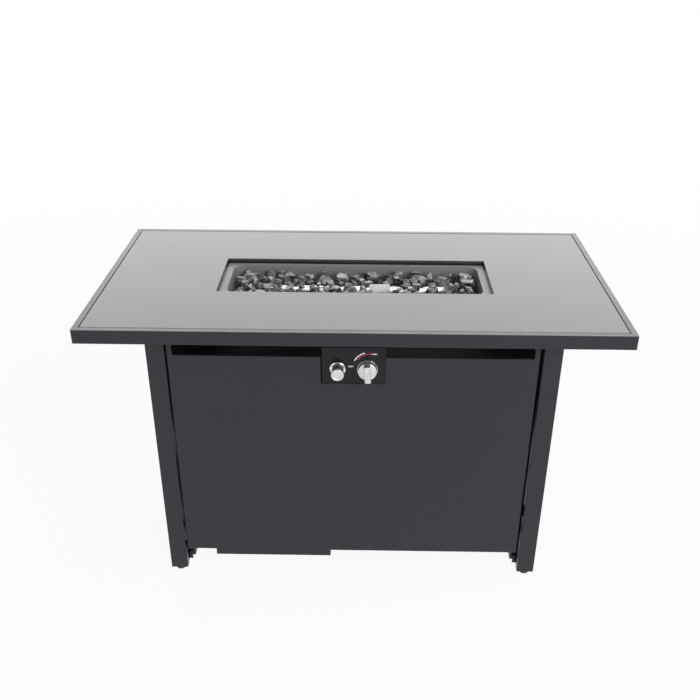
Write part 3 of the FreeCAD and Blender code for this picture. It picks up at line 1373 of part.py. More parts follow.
def make_valve():
    """A taper-plug gas valve; distances run inward from the front of the control panel."""
    flange = "(plate_sheet + bonnet_thickness)"
    bore = "stem_radius + running_gap"
    bonnet = new_body("valve_bonnet")
    turn(bonnet, "Y", [(bore, "-neck_proud"), ("neck_radius", "-neck_proud"), ("neck_radius", "plate_sheet"),
                       ("valve_radius", "plate_sheet"), ("valve_radius", flange), (bore, flange)])
    on_valve("valve_bonnet", bonnet)

    nut = hexagon("valve_nut_hex", "valve_nut_radius", "valve_nut_height", "-y",
                  "knob_place", PLATE_FRONT, CONTROL_LEVEL)
    hole = cylinder("valve_nut_bore", "neck_radius", "valve_nut_height", "-y",
                    "knob_place", PLATE_FRONT, CONTROL_LEVEL)
    node("valve_nut", cut("valve_nut", nut, hole))

    seat = flange + " + chamber_length"
    seat_end = seat + " + rotor_length"
    rear = flange + " + valve_length"
    shell = new_body("valve_body")
    outlet = rear + " + outlet_length"
    turn(shell, "Y", [("0", flange), ("valve_radius", flange), ("valve_radius", rear + " - valve_shoulder"),
                      ("valve_radius - valve_shoulder", rear), ("flare_thread_radius", rear),
                      ("flare_thread_radius", outlet), ("0", outlet)])
    inlet_y = INLET_PLACE
    pad(shell, "XY", "-valve_radius - inlet_boss", "0", ("0", inlet_y, "inlet_radius"))
    front_bore, rear_bore = "rotor_front_radius + running_gap", "rotor_rear_radius + running_gap"
    turn(shell, "Y", [("0", flange), ("chamber_radius", flange), ("chamber_radius", seat), (front_bore, seat),
                      (rear_bore, seat_end), ("0", seat_end)], "Groove")
    pocket(shell, "XZ", seat_end, outlet, ("0", "0", "pipe_radius - pipe_wall"))
    pocket(shell, "XY", "-valve_radius - inlet_boss", "-rotor_rear_radius", ("0", inlet_y, "pipe_radius"))
    on_valve("valve_body", shell)

    inlet = new_body("gas_inlet")
    thread_end = "-inlet_hex_length - inlet_length"
    relieved = "inlet_radius - inlet_relief"
    turn(inlet, "Z", [("pipe_radius", thread_end), (relieved, thread_end),
                      ("inlet_radius", thread_end + " + inlet_relief"), ("inlet_radius", "-inlet_hex_length"),
                      (relieved, "-inlet_hex_length"), (relieved, "0"), ("pipe_radius", "0")])
    pad(inlet, "XY", "-inlet_hex_length", "0", hexagonal("inlet_hex_radius"), ("0", "0", "pipe_radius"))
    node("gas_inlet", place(inlet, "knob_place", PLATE_FRONT + " + " + inlet_y,
                            CONTROL_LEVEL + " - valve_radius - inlet_boss"))

    rotor = new_body("valve_rotor")
    rotor_end = seat_end + " - rest_gap"
    turn(rotor, "Y", [("0", seat), ("rotor_front_radius", seat), ("rotor_rear_radius", rotor_end),
                      ("0", rotor_end)])
    half = "tang_size/2 + running_gap"
    pocket(rotor, "XZ", seat, seat + " + socket_depth", centred(half, half))
    on_valve("valve_rotor", rotor)

    stem = new_body("valve_stem")
    collar = flange + " + rest_gap"
    stem_front = "-knob_gap - knob_length - knob_socket"
    turn(stem, "Y", [("0", stem_front), ("stem_radius", stem_front),
                     ("stem_radius", collar), ("collar_radius", collar),
                     ("collar_radius", collar + " + collar_length"),
                     ("0", collar + " + collar_length")])
    pad(stem, "XZ", collar + " + collar_length", collar + " + collar_length + tang_length",
        centred("tang_size/2", "tang_size/2"))
    pocket(stem, "XZ", stem_front, "-knob_gap",
           rectangle("stem_flat", "stem_radius", "-stem_radius", "stem_radius"))
    on_valve("valve_stem", stem)

    coil("valve_spring", "collar_radius - 1", "knob_place", "%s + %s + collar_length" % (PLATE_FRONT, collar),
         "%s + %s" % (PLATE_FRONT, seat), CONTROL_LEVEL)


def make_knob():
    bezel = new_body("knob_bezel")
    turn(bezel, "Y", [("bezel_hole_radius", "-bezel_floor"), ("bezel_hole_radius", "0"), ("bezel_radius", "0"),
                      ("bezel_radius", "-bezel_height"), ("bezel_radius - bezel_rim", "-bezel_height"),
                      ("bezel_radius - bezel_rim", "-bezel_floor")])
    on_valve("knob_bezel", bezel)

    knob = new_body("control_knob")
    rear, front = "-knob_gap", "(-knob_gap - knob_length)"
    hub_rear = "-knob_gap - knob_hub_setback"
    turn(knob, "Y", [("0", front), ("knob_radius - knob_edge", front), ("knob_radius", front + " + knob_edge"),
                     ("knob_radius", rear), ("knob_hollow_radius", rear),
                     ("knob_hollow_radius", front + " + knob_web"), ("knob_hub_radius", front + " + knob_web"),
                     ("knob_hub_radius", hub_rear), ("0", hub_rear)])
    tip, sunk = front + " - grip_height", front + " + grip_overlap"
    pad(knob, "YZ", "-grip_width/2", "grip_width/2",
        [(sunk, "-knob_radius + knob_edge"), (tip, "-knob_radius + knob_edge"), (tip, "grip_top"),
         (front, "knob_radius - knob_edge"), (sunk, "knob_radius - knob_edge")])
    far = size(tip) + 0.01
    dress(knob, "Fillet", "grip_edge", lambda edge, middle: middle.y < far)
    pocket(knob, "XZ", front + " - knob_socket", "-knob_gap", ("0", "0", "stem_radius"))
    pad(knob, "XZ", front + " - knob_socket", hub_rear,
        rectangle("stem_flat", "stem_radius + grip_overlap", "-stem_radius", "stem_radius"))
    on_valve("control_knob", knob)


def on_igniter(name, body):
    return node(name, place(body, "igniter_place", PLATE_FRONT, CONTROL_LEVEL))


def make_igniter():
    """A push-button spark igniter with its battery behind the button."""
    front, neck = "-igniter_neck_length", "igniter_neck_radius"
    battery_front = "(igniter_length - igniter_cap - battery_length)"
    bore, cell = "plunger_radius + running_gap*2", "battery_radius + running_gap*2"
    barrel = new_body("igniter_barrel")
    turn(barrel, "Y", [("0", front), (neck + " - igniter_edge", front), (neck, front + " + igniter_edge"),
                       (neck, "0"), ("igniter_thread_radius", "0"), ("igniter_thread_radius", "igniter_length"),
                       ("0", "igniter_length")])
    turn(barrel, "Y", [("0", front), (bore, front), (bore, battery_front), (cell, battery_front),
                       (cell, "igniter_length - igniter_cap"), ("0", "igniter_length - igniter_cap")], "Groove")
    for side in (-1, 1):
        middle = "%d*blade_place" % side
        pad(barrel, "XZ", "igniter_length", "igniter_length + blade_length",
            rectangle(middle + " - blade_half_sheet", middle + " + blade_half_sheet",
                      "-blade_half_width", "blade_half_width"))
    on_igniter("igniter_barrel", barrel)

    bezel = new_body("igniter_bezel")
    turn(bezel, "Y", [(neck, "-igniter_bezel_height"),
                      ("igniter_bezel_radius - igniter_bezel_edge", "-igniter_bezel_height"),
                      ("igniter_bezel_radius", "-igniter_bezel_height + igniter_bezel_edge"),
                      ("igniter_bezel_radius", "0"), (neck, "0")])
    on_igniter("igniter_bezel", bezel)

    spot = ("igniter_place", PLATE_BACK, CONTROL_LEVEL)
    hexa = hexagon("igniter_nut_hex", "igniter_nut_radius", "igniter_nut_height", "y", *spot)
    hole = cylinder("igniter_nut_bore", "igniter_thread_radius", "igniter_nut_height", "y", *spot)
    node("igniter_nut", cut("igniter_nut", hexa, hole))

    rear = "(-igniter_neck_length - igniter_travel - rest_gap)"
    face = "(-igniter_neck_length - igniter_travel - rest_gap - button_length)"
    button = new_body("igniter_button")
    turn(button, "Y", [("0", face + " + button_dish"), ("button_radius - dish_inset", face + " + button_dish"),
                       ("button_radius - dish_inset + dish_rim", face), ("button_radius - button_edge", face),
                       ("button_radius", face + " + button_edge"), ("button_radius", rear),
                       ("plunger_radius", rear), ("plunger_radius", rear + " + plunger_length"),
                       ("0", rear + " + plunger_length")])
    on_igniter("igniter_button", button)

    coil("igniter_spring", "plunger_radius - 1.5", "igniter_place",
         "%s + %s + plunger_length" % (PLATE_FRONT, rear),
         "%s + %s + battery_nub_height" % (PLATE_FRONT, battery_front), CONTROL_LEVEL)

    battery = new_body("igniter_battery")
    shoulder = battery_front + " + battery_nub_height"
    turn(battery, "Y", [("0", battery_front), ("battery_nub_radius", battery_front),
                        ("battery_nub_radius", shoulder), ("battery_radius", shoulder),
                        ("battery_radius", battery_front + " + battery_length"),
                        ("0", battery_front + " + battery_length")])
    on_igniter("igniter_battery", battery)


make_tabletop()
make_glass()
make_pan()
make_burner_tube()
make_saddles()
make_mixer()
make_gas_line()
make_pilot()
make_stones()
for leg_name, leg_side, leg_end in (("front_left", -1, -1), ("front_right", 1, -1),
                                    ("rear_left", -1, 1), ("rear_right", 1, 1)):
    make_leg("leg_" + leg_name, leg_side, leg_end)
    make_foot("foot_" + leg_name, leg_side, leg_end)
make_side_panel("side_panel_left", -1)
make_side_panel("side_panel_right", 1)
make_rear_panel()
make_door()
make_hinges()
make_catches()
make_rails()
make_tray()
make_fasteners()
make_control_box()
make_valve()
make_knob()
make_igniter()
doc.recompute()

failed = [thing.Label for thing in doc.Objects if {"Invalid", "Error"} & set(thing.State)]
failed += [name for name, thing in nodes.items() if thing.Shape.isNull() or not thing.Shape.isValid()]
if failed:
    raise RuntimeError("failed: " + ", ".join(failed))

os.makedirs("parts", exist_ok=True)
for name, thing in nodes.items():
    thing.Shape.exportStep("parts/%s.step" % name)
print(len(nodes), "parts written")
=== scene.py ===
"""Looks of the gas fire pit table, dressed over its packed construction model."""

import json
import logging
import math
from dataclasses import dataclass, field
from enum import Enum
from typing import Callable, Mapping, Optional, Sequence, Union

import bpy
from mathutils import Matrix, Vector


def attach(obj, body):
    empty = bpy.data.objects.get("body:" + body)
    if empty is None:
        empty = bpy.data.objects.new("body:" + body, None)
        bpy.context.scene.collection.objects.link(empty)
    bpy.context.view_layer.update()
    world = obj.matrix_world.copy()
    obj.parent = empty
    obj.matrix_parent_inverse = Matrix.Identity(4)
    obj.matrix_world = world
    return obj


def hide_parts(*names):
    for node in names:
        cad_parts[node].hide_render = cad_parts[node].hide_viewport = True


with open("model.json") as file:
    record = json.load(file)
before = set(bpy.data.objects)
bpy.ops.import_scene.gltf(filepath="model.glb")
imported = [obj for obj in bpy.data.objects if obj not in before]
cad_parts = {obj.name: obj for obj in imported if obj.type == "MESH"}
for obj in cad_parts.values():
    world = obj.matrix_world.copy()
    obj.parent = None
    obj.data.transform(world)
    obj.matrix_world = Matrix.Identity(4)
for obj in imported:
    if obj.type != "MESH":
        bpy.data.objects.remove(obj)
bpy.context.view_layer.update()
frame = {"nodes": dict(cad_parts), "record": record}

LOG = logging.getLogger("fire_pit_table")

Colour = tuple[float, float, float]
Pair = tuple[float, float]

MM = 0.001
QUARTER = math.pi / 2
WHITE = (1.0, 1.0, 1.0, 1.0)

# the two controls, right of the middle and above the ground, and the panel's front, in millimetres
KNOB_AXIS = (28.0, 542.0)
BUTTON_AXIS = (-32.0, 542.0)
PANEL_FACE = -251.5

# what counts as the end of a piece: how squarely a face looks that way, and its slack in millimetres
SQUARE_ON = 0.99
FLUSH = 0.01

# the range that noise mostly stays in
NOISE_LOW = 0.3
NOISE_HIGH = 0.7


class Body(Enum):
    """The bodies of the packed model that new pieces ride on."""

    TABLE = "table"
    KNOB = "knob"
    BUTTON = "button"


class Way(Enum):
    """A way along one of the axes."""

    RIGHT = (1.0, 0.0, 0.0)
    LEFT = (-1.0, 0.0, 0.0)
    BACK = (0.0, 1.0, 0.0)
    FRONT = (0.0, -1.0, 0.0)
    UP = (0.0, 0.0, 1.0)
    DOWN = (0.0, 0.0, -1.0)


# shader graphs

Wire = Union["Value", float, int, tuple, None]


class Value:
    """A shader socket that Python's operators turn into Math nodes."""

    def __init__(self, graph: "Graph", socket: Optional[bpy.types.NodeSocket]) -> None:
        """Wrap one output socket of a graph."""
        self.graph = graph
        self.socket = socket

    def math(self, operation: str, first: Wire, second: Wire = 0.0) -> "Value":
        """Add one Math node.

        Args:
            operation: The node's operation.
            first: Its first input.
            second: Its second input.

        Returns:
            The node's result.
        """
        return self.graph.node("ShaderNodeMath", {"operation": operation}, {0: first, 1: second})

    def __add__(self, other: Wire) -> "Value":
        """Sum."""
        return self.math("ADD", self, other)

    def __rsub__(self, other: Wire) -> "Value":
        """Difference, the socket taken away."""
        return self.math("SUBTRACT", other, self)

    def __mul__(self, other: Wire) -> "Value":
        """Product."""
        return self.math("MULTIPLY", self, other)

    def __gt__(self, other: Wire) -> "Value":
        """One where the socket is the larger, else zero."""
        return self.math("GREATER_THAN", self, other)

    def __lt__(self, other: Wire) -> "Value":
        """One where the socket is the smaller, else zero."""
        return self.math("LESS_THAN", self, other)

    def __abs__(self) -> "Value":
        """Size without its sign."""
        return self.math("ABSOLUTE", self)

    def larger(self, other: Wire) -> "Value":
        """The larger of the two."""
        return self.math("MAXIMUM", self, other)


class Graph:
    """A node tree that is written node by node."""

    def __init__(self, tree: bpy.types.NodeTree) -> None:
        """Start on an empty tree."""
        self.tree = tree
        tree.nodes.clear()

    def node(self, kind: str, settings: Optional[Mapping[str, object]] = None,
             inputs: Optional[Mapping[Union[str, int], Wire]] = None, output: Union[str, int] = 0) -> Value:
        """Add one node.

        Args:
            kind: The node's type.
            settings: Its properties; a ramp's stops are given as "stops".
            inputs: Values or links for its sockets.
            output: The output that is wanted.

        Returns:
            That output.
        """
        new = self.tree.nodes.new(kind)
        for name, setting in (settings or {}).items():
            if name == "stops":
                self.set_stops(new.color_ramp, setting)
            else:
                setattr(new, name, setting)
        for name, wire in (inputs or {}).items():
            if isinstance(wire, Value):
                self.tree.links.new(wire.socket, new.inputs[name])
            elif wire is not None:
                new.inputs[name].default_value = wire
        return Value(self, new.outputs[output] if new.outputs else None)

    @staticmethod
    def set_stops(ramp: bpy.types.ColorRamp, stops: Sequence[tuple[float, Colour]]) -> None:
        """Give a colour ramp its stops.

        Args:
            ramp: The ramp.
            stops: Places from 0 to 1 and their colours.
        """
        while len(ramp.elements) < len(stops):
            ramp.elements.new(1.0)
        for element, (place, colour) in zip(ramp.elements, stops):
            element.position = place
            element.color = (*colour, 1.0)

    def place(self) -> Value:
        """The point on the surface, in metres."""
        return self.node("ShaderNodeTexCoord", output="Object")

    def axis(self, vector: Value, letter: str) -> Value:
        """One coordinate of a vector."""
        return self.node("ShaderNodeSeparateXYZ", inputs={0: vector}, output=letter)

    def facing_up(self) -> Value:
        """How far the surface faces up, from -1 to 1."""
        return self.axis(self.node("ShaderNodeNewGeometry", output="Normal"), "Z")

    def noise(self, vector: Value, scale: float, detail: float, roughness: float = 0.5) -> Value:
        """Noise from 0 to 1 at a number of blotches a metre, with so many finer layers."""
        return self.node("ShaderNodeTexNoise", inputs={
            "Vector": vector, "Scale": scale, "Detail": detail, "Roughness": roughness})

    def stretched(self, vector: Value, scale: tuple[float, float, float]) -> Value:
        """The vector with each axis scaled."""
        return self.node("ShaderNodeMapping", inputs={"Vector": vector, "Scale": scale})

    def ramp(self, factor: Value, stops: Sequence[tuple[float, Colour]]) -> Value:
        """A colour ramp read at the factor."""
        return self.node("ShaderNodeValToRGB", {"stops": stops}, {0: factor})

    def span(self, value: Value, low: float, high: float, start: float, end: float) -> Value:
        """The value taken from one range to another, held at its ends."""
        return self.node("ShaderNodeMapRange", {"clamp": True}, {
            "Value": value, "From Min": low, "From Max": high, "To Min": start, "To Max": end})

    def blend(self, factor: Wire, first: Union[Value, Colour], second: Union[Value, Colour]) -> Value:
        """A colour between two."""
        wires = [wire if isinstance(wire, Value) else (*wire, 1.0) for wire in (first, second)]
        return self.node("ShaderNodeMix", {"data_type": "RGBA"}, {0: factor, 6: wires[0], 7: wires[1]}, 2)

    def tinted(self, colour: Value, tint: Value, strength: float) -> Value:
        """A colour multiplied by a tint."""
        return self.node("ShaderNodeMix", {"data_type": "RGBA", "blend_type": "MULTIPLY"},
                         {0: strength, 6: colour, 7: tint}, 2)

    def bump(self, height: Value, distance: float, strength: float) -> Value:
        """A normal from a height."""
        return self.node("ShaderNodeBump", inputs={
            "Height": height, "Distance": distance, "Strength": strength})

    def surface(self, shader: Value) -> None:
        """Send a shader to the output."""
        world = self.tree.id_data.bl_rna.identifier == "World"
        kind = "ShaderNodeOutputWorld" if world else "ShaderNodeOutputMaterial"
        self.node(kind, inputs={"Surface": shader})


# finishes

@dataclass(frozen=True)
class Finish:
    """What every finish has."""

    name: str
    colour: Colour
    roughness: float

    def material(self) -> bpy.types.Material:
        """The finish as a material, made once and named apart from the plain one of its slot."""
        name = self.name + "_finish"
        known = bpy.data.materials.get(name)
        if known is not None:
            return known
        made = bpy.data.materials.new(name)
        made.use_nodes = True
        graph = Graph(made.node_tree)
        graph.surface(graph.node("ShaderNodeBsdfPrincipled", inputs=self.sockets(graph)))
        made.diffuse_color = (*self.colour, 1.0)
        return made

    def sockets(self, graph: Graph) -> dict[str, Wire]:
        """The shader's inputs.

        Args:
            graph: The tree to build in.

        Returns:
            Values and links by socket name.
        """
        raise NotImplementedError

    def shade(self, factor: float) -> Colour:
        """The colour made lighter or darker."""
        red, green, blue = (channel * factor for channel in self.colour)
        return red, green, blue

    def mottled(self, graph: Graph, pattern: Value, darker: float, lighter: float) -> Value:
        """The colour between a darker and a lighter shade of itself, by a pattern."""
        return graph.blend(pattern, self.shade(darker), self.shade(lighter))

    def worn(self, graph: Graph, pattern: Value, less: float, more: float) -> Value:
        """The roughness, less by so much or more by so much, by a pattern."""
        return graph.span(pattern, NOISE_LOW, NOISE_HIGH, self.roughness - less, self.roughness + more)


@dataclass(frozen=True)
class PowderCoat(Finish):
    """Polyester powder coat with orange peel, faint clouds and, on what faces up, a paler film that is dust
    and painted sheen standing in for the light from above.
    """

    peel: float = 0.00005
    ior: float = 1.42
    # how much paler what faces up is painted, and in what grey: dust, and painted sheen for the light from
    # above
    dust_and_sheen: float = 0.0
    dust_and_sheen_colour: Colour = (0.40, 0.40, 0.40)
    cloud_scale: float = 5.0
    peel_scale: float = 420.0
    speck_scale: float = 1100.0
    dust_and_sheen_scale: float = 30.0

    def sockets(self, graph: Graph) -> dict[str, Wire]:
        """The shader's inputs.

        Args:
            graph: The tree to build in.

        Returns:
            Values and links by socket name.
        """
        place = graph.place()
        clouds = graph.noise(place, self.cloud_scale, 4.0)
        grain = graph.noise(place, self.peel_scale, 2.0, 0.6)
        specks = graph.noise(place, self.speck_scale, 1.0)
        base = self.mottled(graph, clouds, 0.88, 1.12)
        base = graph.blend(graph.span(specks, 0.35, 0.75, 0.0, 0.25), base, self.shade(1.8))
        # painted sheen with dust: what faces up is laid paler in patches, standing in for the light from
        # above
        dust_and_sheen_facing_up = graph.span(graph.facing_up(), 0.6, 1.0, 0.0, self.dust_and_sheen)
        patches = graph.span(graph.noise(place, self.dust_and_sheen_scale, 5.0), NOISE_LOW, NOISE_HIGH, 0.6, 1.0)
        return {
            "Base Color": graph.blend(dust_and_sheen_facing_up * patches, base, self.dust_and_sheen_colour),
            "Roughness": self.worn(graph, clouds, 0.03, 0.03),
            "IOR": self.ior,
            "Normal": graph.bump(grain + specks * 0.4, self.peel, 0.5),
        }


@dataclass(frozen=True)
class BowlPaint(PowderCoat):
    """Grey heat-proof paint, darkened towards the bowl's floor by painted shade laid in patches."""

    floor_level: float = 0.574
    mouth_level: float = 0.628
    # painted shade: its colour, how much of it lies at the floor and at the mouth, and the size of its
    # patches
    painted_shade_colour: Colour = (0.03, 0.03, 0.03)
    painted_shade_amount: Pair = (0.85, 0.05)
    painted_shade_scale: float = 22.0

    def sockets(self, graph: Graph) -> dict[str, Wire]:
        """The shader's inputs.

        Args:
            graph: The tree to build in.

        Returns:
            Values and links by socket name.
        """
        wires = super().sockets(graph)
        place = graph.place()
        # painted shade: darker towards the bowl's floor, under the stones, in patches
        depth = graph.span(graph.axis(place, "Z"), self.floor_level, self.mouth_level, *self.painted_shade_amount)
        patches = graph.span(graph.noise(place, self.painted_shade_scale, 5.0), 0.35, 0.65, 0.4, 1.0)
        wires["Base Color"] = graph.blend(depth * patches, wires["Base Color"], self.painted_shade_colour)
        return wires


@dataclass(frozen=True)
class TopGlass(Finish):
    """Tempered glass painted grey behind: smooth, with faint wipe marks and darker edges."""

    edge: Colour = (0.05, 0.07, 0.065)
    ior: float = 1.52
    wiping: tuple[float, float, float] = (2.0, 9.0, 1.0)
    wipe_scale: float = 3.0
    cloud_scale: float = 9.0
    wave_scale: float = 7.0
    wave: float = 0.0002

    def sockets(self, graph: Graph) -> dict[str, Wire]:
        """The shader's inputs.

        Args:
            graph: The tree to build in.

        Returns:
            Values and links by socket name.
        """
        place = graph.place()
        wipes = graph.noise(graph.stretched(place, self.wiping), self.wipe_scale, 5.0, 0.6)
        clouds = graph.noise(place, self.cloud_scale, 3.0)
        upright = graph.span(abs(graph.facing_up()), 0.2, 0.8, 1.0, 0.0)
        return {
            "Base Color": graph.blend(upright, self.mottled(graph, clouds, 0.96, 1.04), self.edge),
            "Roughness": graph.span(wipes, 0.35, 0.75, self.roughness, self.roughness + 0.05),
            "IOR": self.ior,
            "Normal": graph.bump(graph.noise(place, self.wave_scale, 1.0), self.wave, 0.1),
        }


@dataclass(frozen=True)
class Metal(Finish):
    """Bare or plated metal with its grain drawn along one axis and a touch of tarnish."""

    grain: tuple[float, float, float] = (1.0, 1.0, 1.0)
    grain_scale: float = 300.0
    depth: float = 0.00002
    tarnish: Colour = (0.30, 0.26, 0.21)
    tarnished: float = 0.15
    tarnish_scale: float = 24.0
    polish: Pair = (0.8, 1.25)

    def sockets(self, graph: Graph) -> dict[str, Wire]:
        """The shader's inputs.

        Args:
            graph: The tree to build in.

        Returns:
            Values and links by socket name.
        """
        place = graph.place()
        lines = graph.noise(graph.stretched(place, self.grain), self.grain_scale, 3.0, 0.6)
        blotches = graph.noise(place, self.tarnish_scale, 5.0, 0.6)
        stained = graph.span(blotches, 0.5, 0.75, 0.0, self.tarnished)
        smooth, rough = (self.roughness * share for share in self.polish)
        return {
            "Base Color": graph.blend(stained, self.mottled(graph, lines, 0.9, 1.06), self.tarnish),
            "Metallic": 1.0,
            "Roughness": graph.span(lines, NOISE_LOW, NOISE_HIGH, smooth, rough),
            "Normal": graph.bump(lines, self.depth, 0.5),
        }


@dataclass(frozen=True)
class HeatedSteel(Metal):
    """Brushed stainless steel with straw and blue heat colours near the flame."""

    flame_level: float = 0.613
    reach: float = 0.008
    heat_scale: float = 14.0
    tinting: float = 0.25
    heat_colours: tuple[tuple[float, Colour], ...] = (
        (0.0, (1.0, 1.0, 1.0)),
        (0.4, (1.0, 0.95, 0.86)),
        (0.55, (0.97, 0.86, 0.72)),
        (0.68, (0.78, 0.77, 0.9)),
        (0.8, (0.92, 0.94, 0.98)),
    )

    def sockets(self, graph: Graph) -> dict[str, Wire]:
        """The shader's inputs.

        Args:
            graph: The tree to build in.

        Returns:
            Values and links by socket name.
        """
        wires = super().sockets(graph)
        place = graph.place()
        cold = self.flame_level - self.reach
        above = graph.span(graph.axis(place, "Z"), cold, self.flame_level, 0.0, 1.0)
        heat = above * graph.noise(place, self.heat_scale, 4.0)
        tint = graph.ramp(heat, self.heat_colours)
        wires["Base Color"] = graph.tinted(wires["Base Color"], tint, self.tinting)
        return wires


@dataclass(frozen=True)
class DishChrome(Metal):
    """Bright chrome whose inner floor is painted black."""

    floor: float = -0.2526
    paint: Colour = (0.008, 0.008, 0.009)

    def sockets(self, graph: Graph) -> dict[str, Wire]:
        """The shader's inputs.

        Args:
            graph: The tree to build in.

        Returns:
            Values and links by socket name.
        """
        wires = super().sockets(graph)
        painted = graph.axis(graph.place(), "Y") > self.floor
        wires["Base Color"] = graph.blend(painted, wires["Base Color"], self.paint)
        wires["Metallic"] = 1.0 - painted
        return wires


@dataclass(frozen=True)
class Moulded(Finish):
    """Moulded plastic, rubber, enamel, ceramic or ink with a fine grain."""

    depth: float = 0.00003
    grain_scale: float = 600.0
    mark_scale: float = 40.0

    def sockets(self, graph: Graph) -> dict[str, Wire]:
        """The shader's inputs.

        Args:
            graph: The tree to build in.

        Returns:
            Values and links by socket name.
        """
        place = graph.place()
        grain = graph.noise(place, self.grain_scale, 2.0)
        marks = graph.noise(place, self.mark_scale, 4.0)
        return {
            "Base Color": self.mottled(graph, marks, 0.92, 1.08),
            "Roughness": self.worn(graph, marks, 0.04, 0.06),
            "Normal": graph.bump(grain, self.depth, 0.4),
        }


@dataclass(frozen=True)
class SatinSilver(Finish):
    """Silver lacquer on a moulding: fine metal flake under a satin skin, greyed by fingers."""

    metallic: float = 0.95
    depth: float = 0.00001
    flake_scale: float = 2600.0
    mark_scale: float = 90.0

    def sockets(self, graph: Graph) -> dict[str, Wire]:
        """The shader's inputs.

        Args:
            graph: The tree to build in.

        Returns:
            Values and links by socket name.
        """
        place = graph.place()
        flake = graph.noise(place, self.flake_scale, 1.0)
        marks = graph.noise(place, self.mark_scale, 4.0)
        return {
            "Base Color": graph.blend(marks, self.mottled(graph, flake, 0.9, 1.06), self.shade(0.86)),
            "Metallic": self.metallic,
            "Roughness": self.worn(graph, marks, 0.03, 0.06),
            "Normal": graph.bump(flake, self.depth, 0.4),
        }


@dataclass(frozen=True)
class LavaGlass(Finish):
    """Volcanic glass: grey and black broken faces with shell-like ripples, specks and dull rind."""

    pale: Colour = (0.26, 0.26, 0.265)
    speck: Colour = (0.50, 0.50, 0.50)
    dullness: float = 0.3
    relief: float = 0.0012
    stone_scale: float = 34.0
    vein_scale: float = 170.0
    rind_scale: float = 60.0
    ripple_scale: float = 45.0
    pit_scale: float = 110.0

    def sockets(self, graph: Graph) -> dict[str, Wire]:
        """The shader's inputs.

        Args:
            graph: The tree to build in.

        Returns:
            Values and links by socket name.
        """
        place = graph.place()
        stone = graph.noise(place, self.stone_scale, 1.0)
        veins = graph.noise(place, self.vein_scale, 5.0, 0.7)
        rind = graph.span(graph.noise(place, self.rind_scale, 4.0, 0.6), 0.5, 0.66, 0.0, 1.0)
        pale = graph.span(stone + veins * 0.8, 0.78, 1.12, 0.0, 1.0)
        base = graph.blend(pale, self.colour, self.pale)
        specks = graph.span(veins, 0.6, 0.72, 0.0, 0.7)
        ripples = graph.node("ShaderNodeTexWave", {"wave_type": "RINGS"}, {
            "Vector": place, "Scale": self.ripple_scale, "Distortion": 8.0, "Detail": 2.0})
        height = ripples * 0.35 + graph.noise(place, self.pit_scale, 3.0) + veins * 0.25
        return {
            "Base Color": graph.blend(specks, base, self.speck),
            "Roughness": graph.span(rind, 0.0, 1.0, self.roughness, self.roughness + self.dullness),
            "Normal": graph.bump(height, self.relief, 0.5),
        }


@dataclass(frozen=True)
class CellJacket(Finish):
    """The sleeve of a dry cell: a dark body with a coppery shoulder."""

    shoulder: float = -0.196
    copper: Colour = (0.55, 0.27, 0.09)
    metallic: float = 0.6
    depth: float = 0.00002
    scuff_scale: float = 200.0

    def sockets(self, graph: Graph) -> dict[str, Wire]:
        """The shader's inputs.

        Args:
            graph: The tree to build in.

        Returns:
            Values and links by socket name.
        """
        place = graph.place()
        front = graph.axis(place, "Y") < self.shoulder
        scuffs = graph.noise(place, self.scuff_scale, 3.0)
        return {
            "Base Color": graph.blend(front, self.colour, self.copper),
            "Metallic": self.metallic,
            "Roughness": self.worn(graph, scuffs, 0.05, 0.1),
            "Normal": graph.bump(scuffs, self.depth, 0.3),
        }


class Finishes:
    """The finishes of the table, by the record's slots where a node carries one."""

    FRAME = PowderCoat("frame_paint", (0.0185, 0.0178, 0.0245), 0.34)
    # the top's upper faces get dust and painted sheen, paler than the lamps alone make them
    TOP = PowderCoat("top_paint", (0.0185, 0.0178, 0.0245), 0.22, dust_and_sheen=0.22)
    PAN = BowlPaint("pan_paint", (0.20, 0.20, 0.203), 0.38)
    CONTROL = PowderCoat("control_paint", (0.006, 0.0065, 0.009), 0.22, peel=0.00002, ior=1.35)
    GLASS = TopGlass("top_glass", (0.105, 0.106, 0.103), 0.07)
    PAD = Moulded("soft_pad", (0.05, 0.05, 0.05), 0.7)
    STAINLESS = HeatedSteel("stainless", (0.68, 0.67, 0.65), 0.30, grain=(0.12, 1.0, 1.0),
                            grain_scale=420.0)
    SHIELD = Moulded("shield_enamel", (0.90, 0.90, 0.89), 0.25, depth=0.00002)
    ZINC = Metal("zinc_steel", (0.55, 0.54, 0.50), 0.36, tarnish=(0.45, 0.38, 0.22), tarnished=0.3)
    BLACK_STEEL = Metal("black_steel", (0.045, 0.045, 0.047), 0.42, tarnish=(0.10, 0.06, 0.04),
                        tarnished=0.2)
    CAST = Metal("cast_alloy", (0.42, 0.42, 0.43), 0.48, grain_scale=260.0, depth=0.00012)
    BRASS = Metal("brass_fitting", (0.72, 0.50, 0.20), 0.27, grain_scale=500.0, tarnish=(0.35, 0.20, 0.08),
                  tarnished=0.35)
    CERAMIC = Moulded("ceramic", (0.78, 0.75, 0.68), 0.32, depth=0.00004)
    CHROME = Metal("bright_chrome", (0.86, 0.87, 0.88), 0.12, depth=0.000004, tarnished=0.03)
    DISH = DishChrome("dish_chrome", (0.86, 0.87, 0.88), 0.14, depth=0.000004, tarnished=0.03)
    SILVER = SatinSilver("silver_knob", (0.74, 0.74, 0.73), 0.36)
    BLACK = Moulded("black_plastic", (0.012, 0.012, 0.013), 0.3, depth=0.00002)
    JACKET = CellJacket("cell_jacket", (0.03, 0.03, 0.035), 0.3)
    LAVA = LavaGlass("lava_glass", (0.02, 0.02, 0.0215), 0.12)
    WHITE_PRINT = Moulded("white_print", (0.90, 0.90, 0.89), 0.45, depth=0.00001)
    RED_PRINT = Moulded("red_print", (0.50, 0.03, 0.045), 0.45, depth=0.00001)


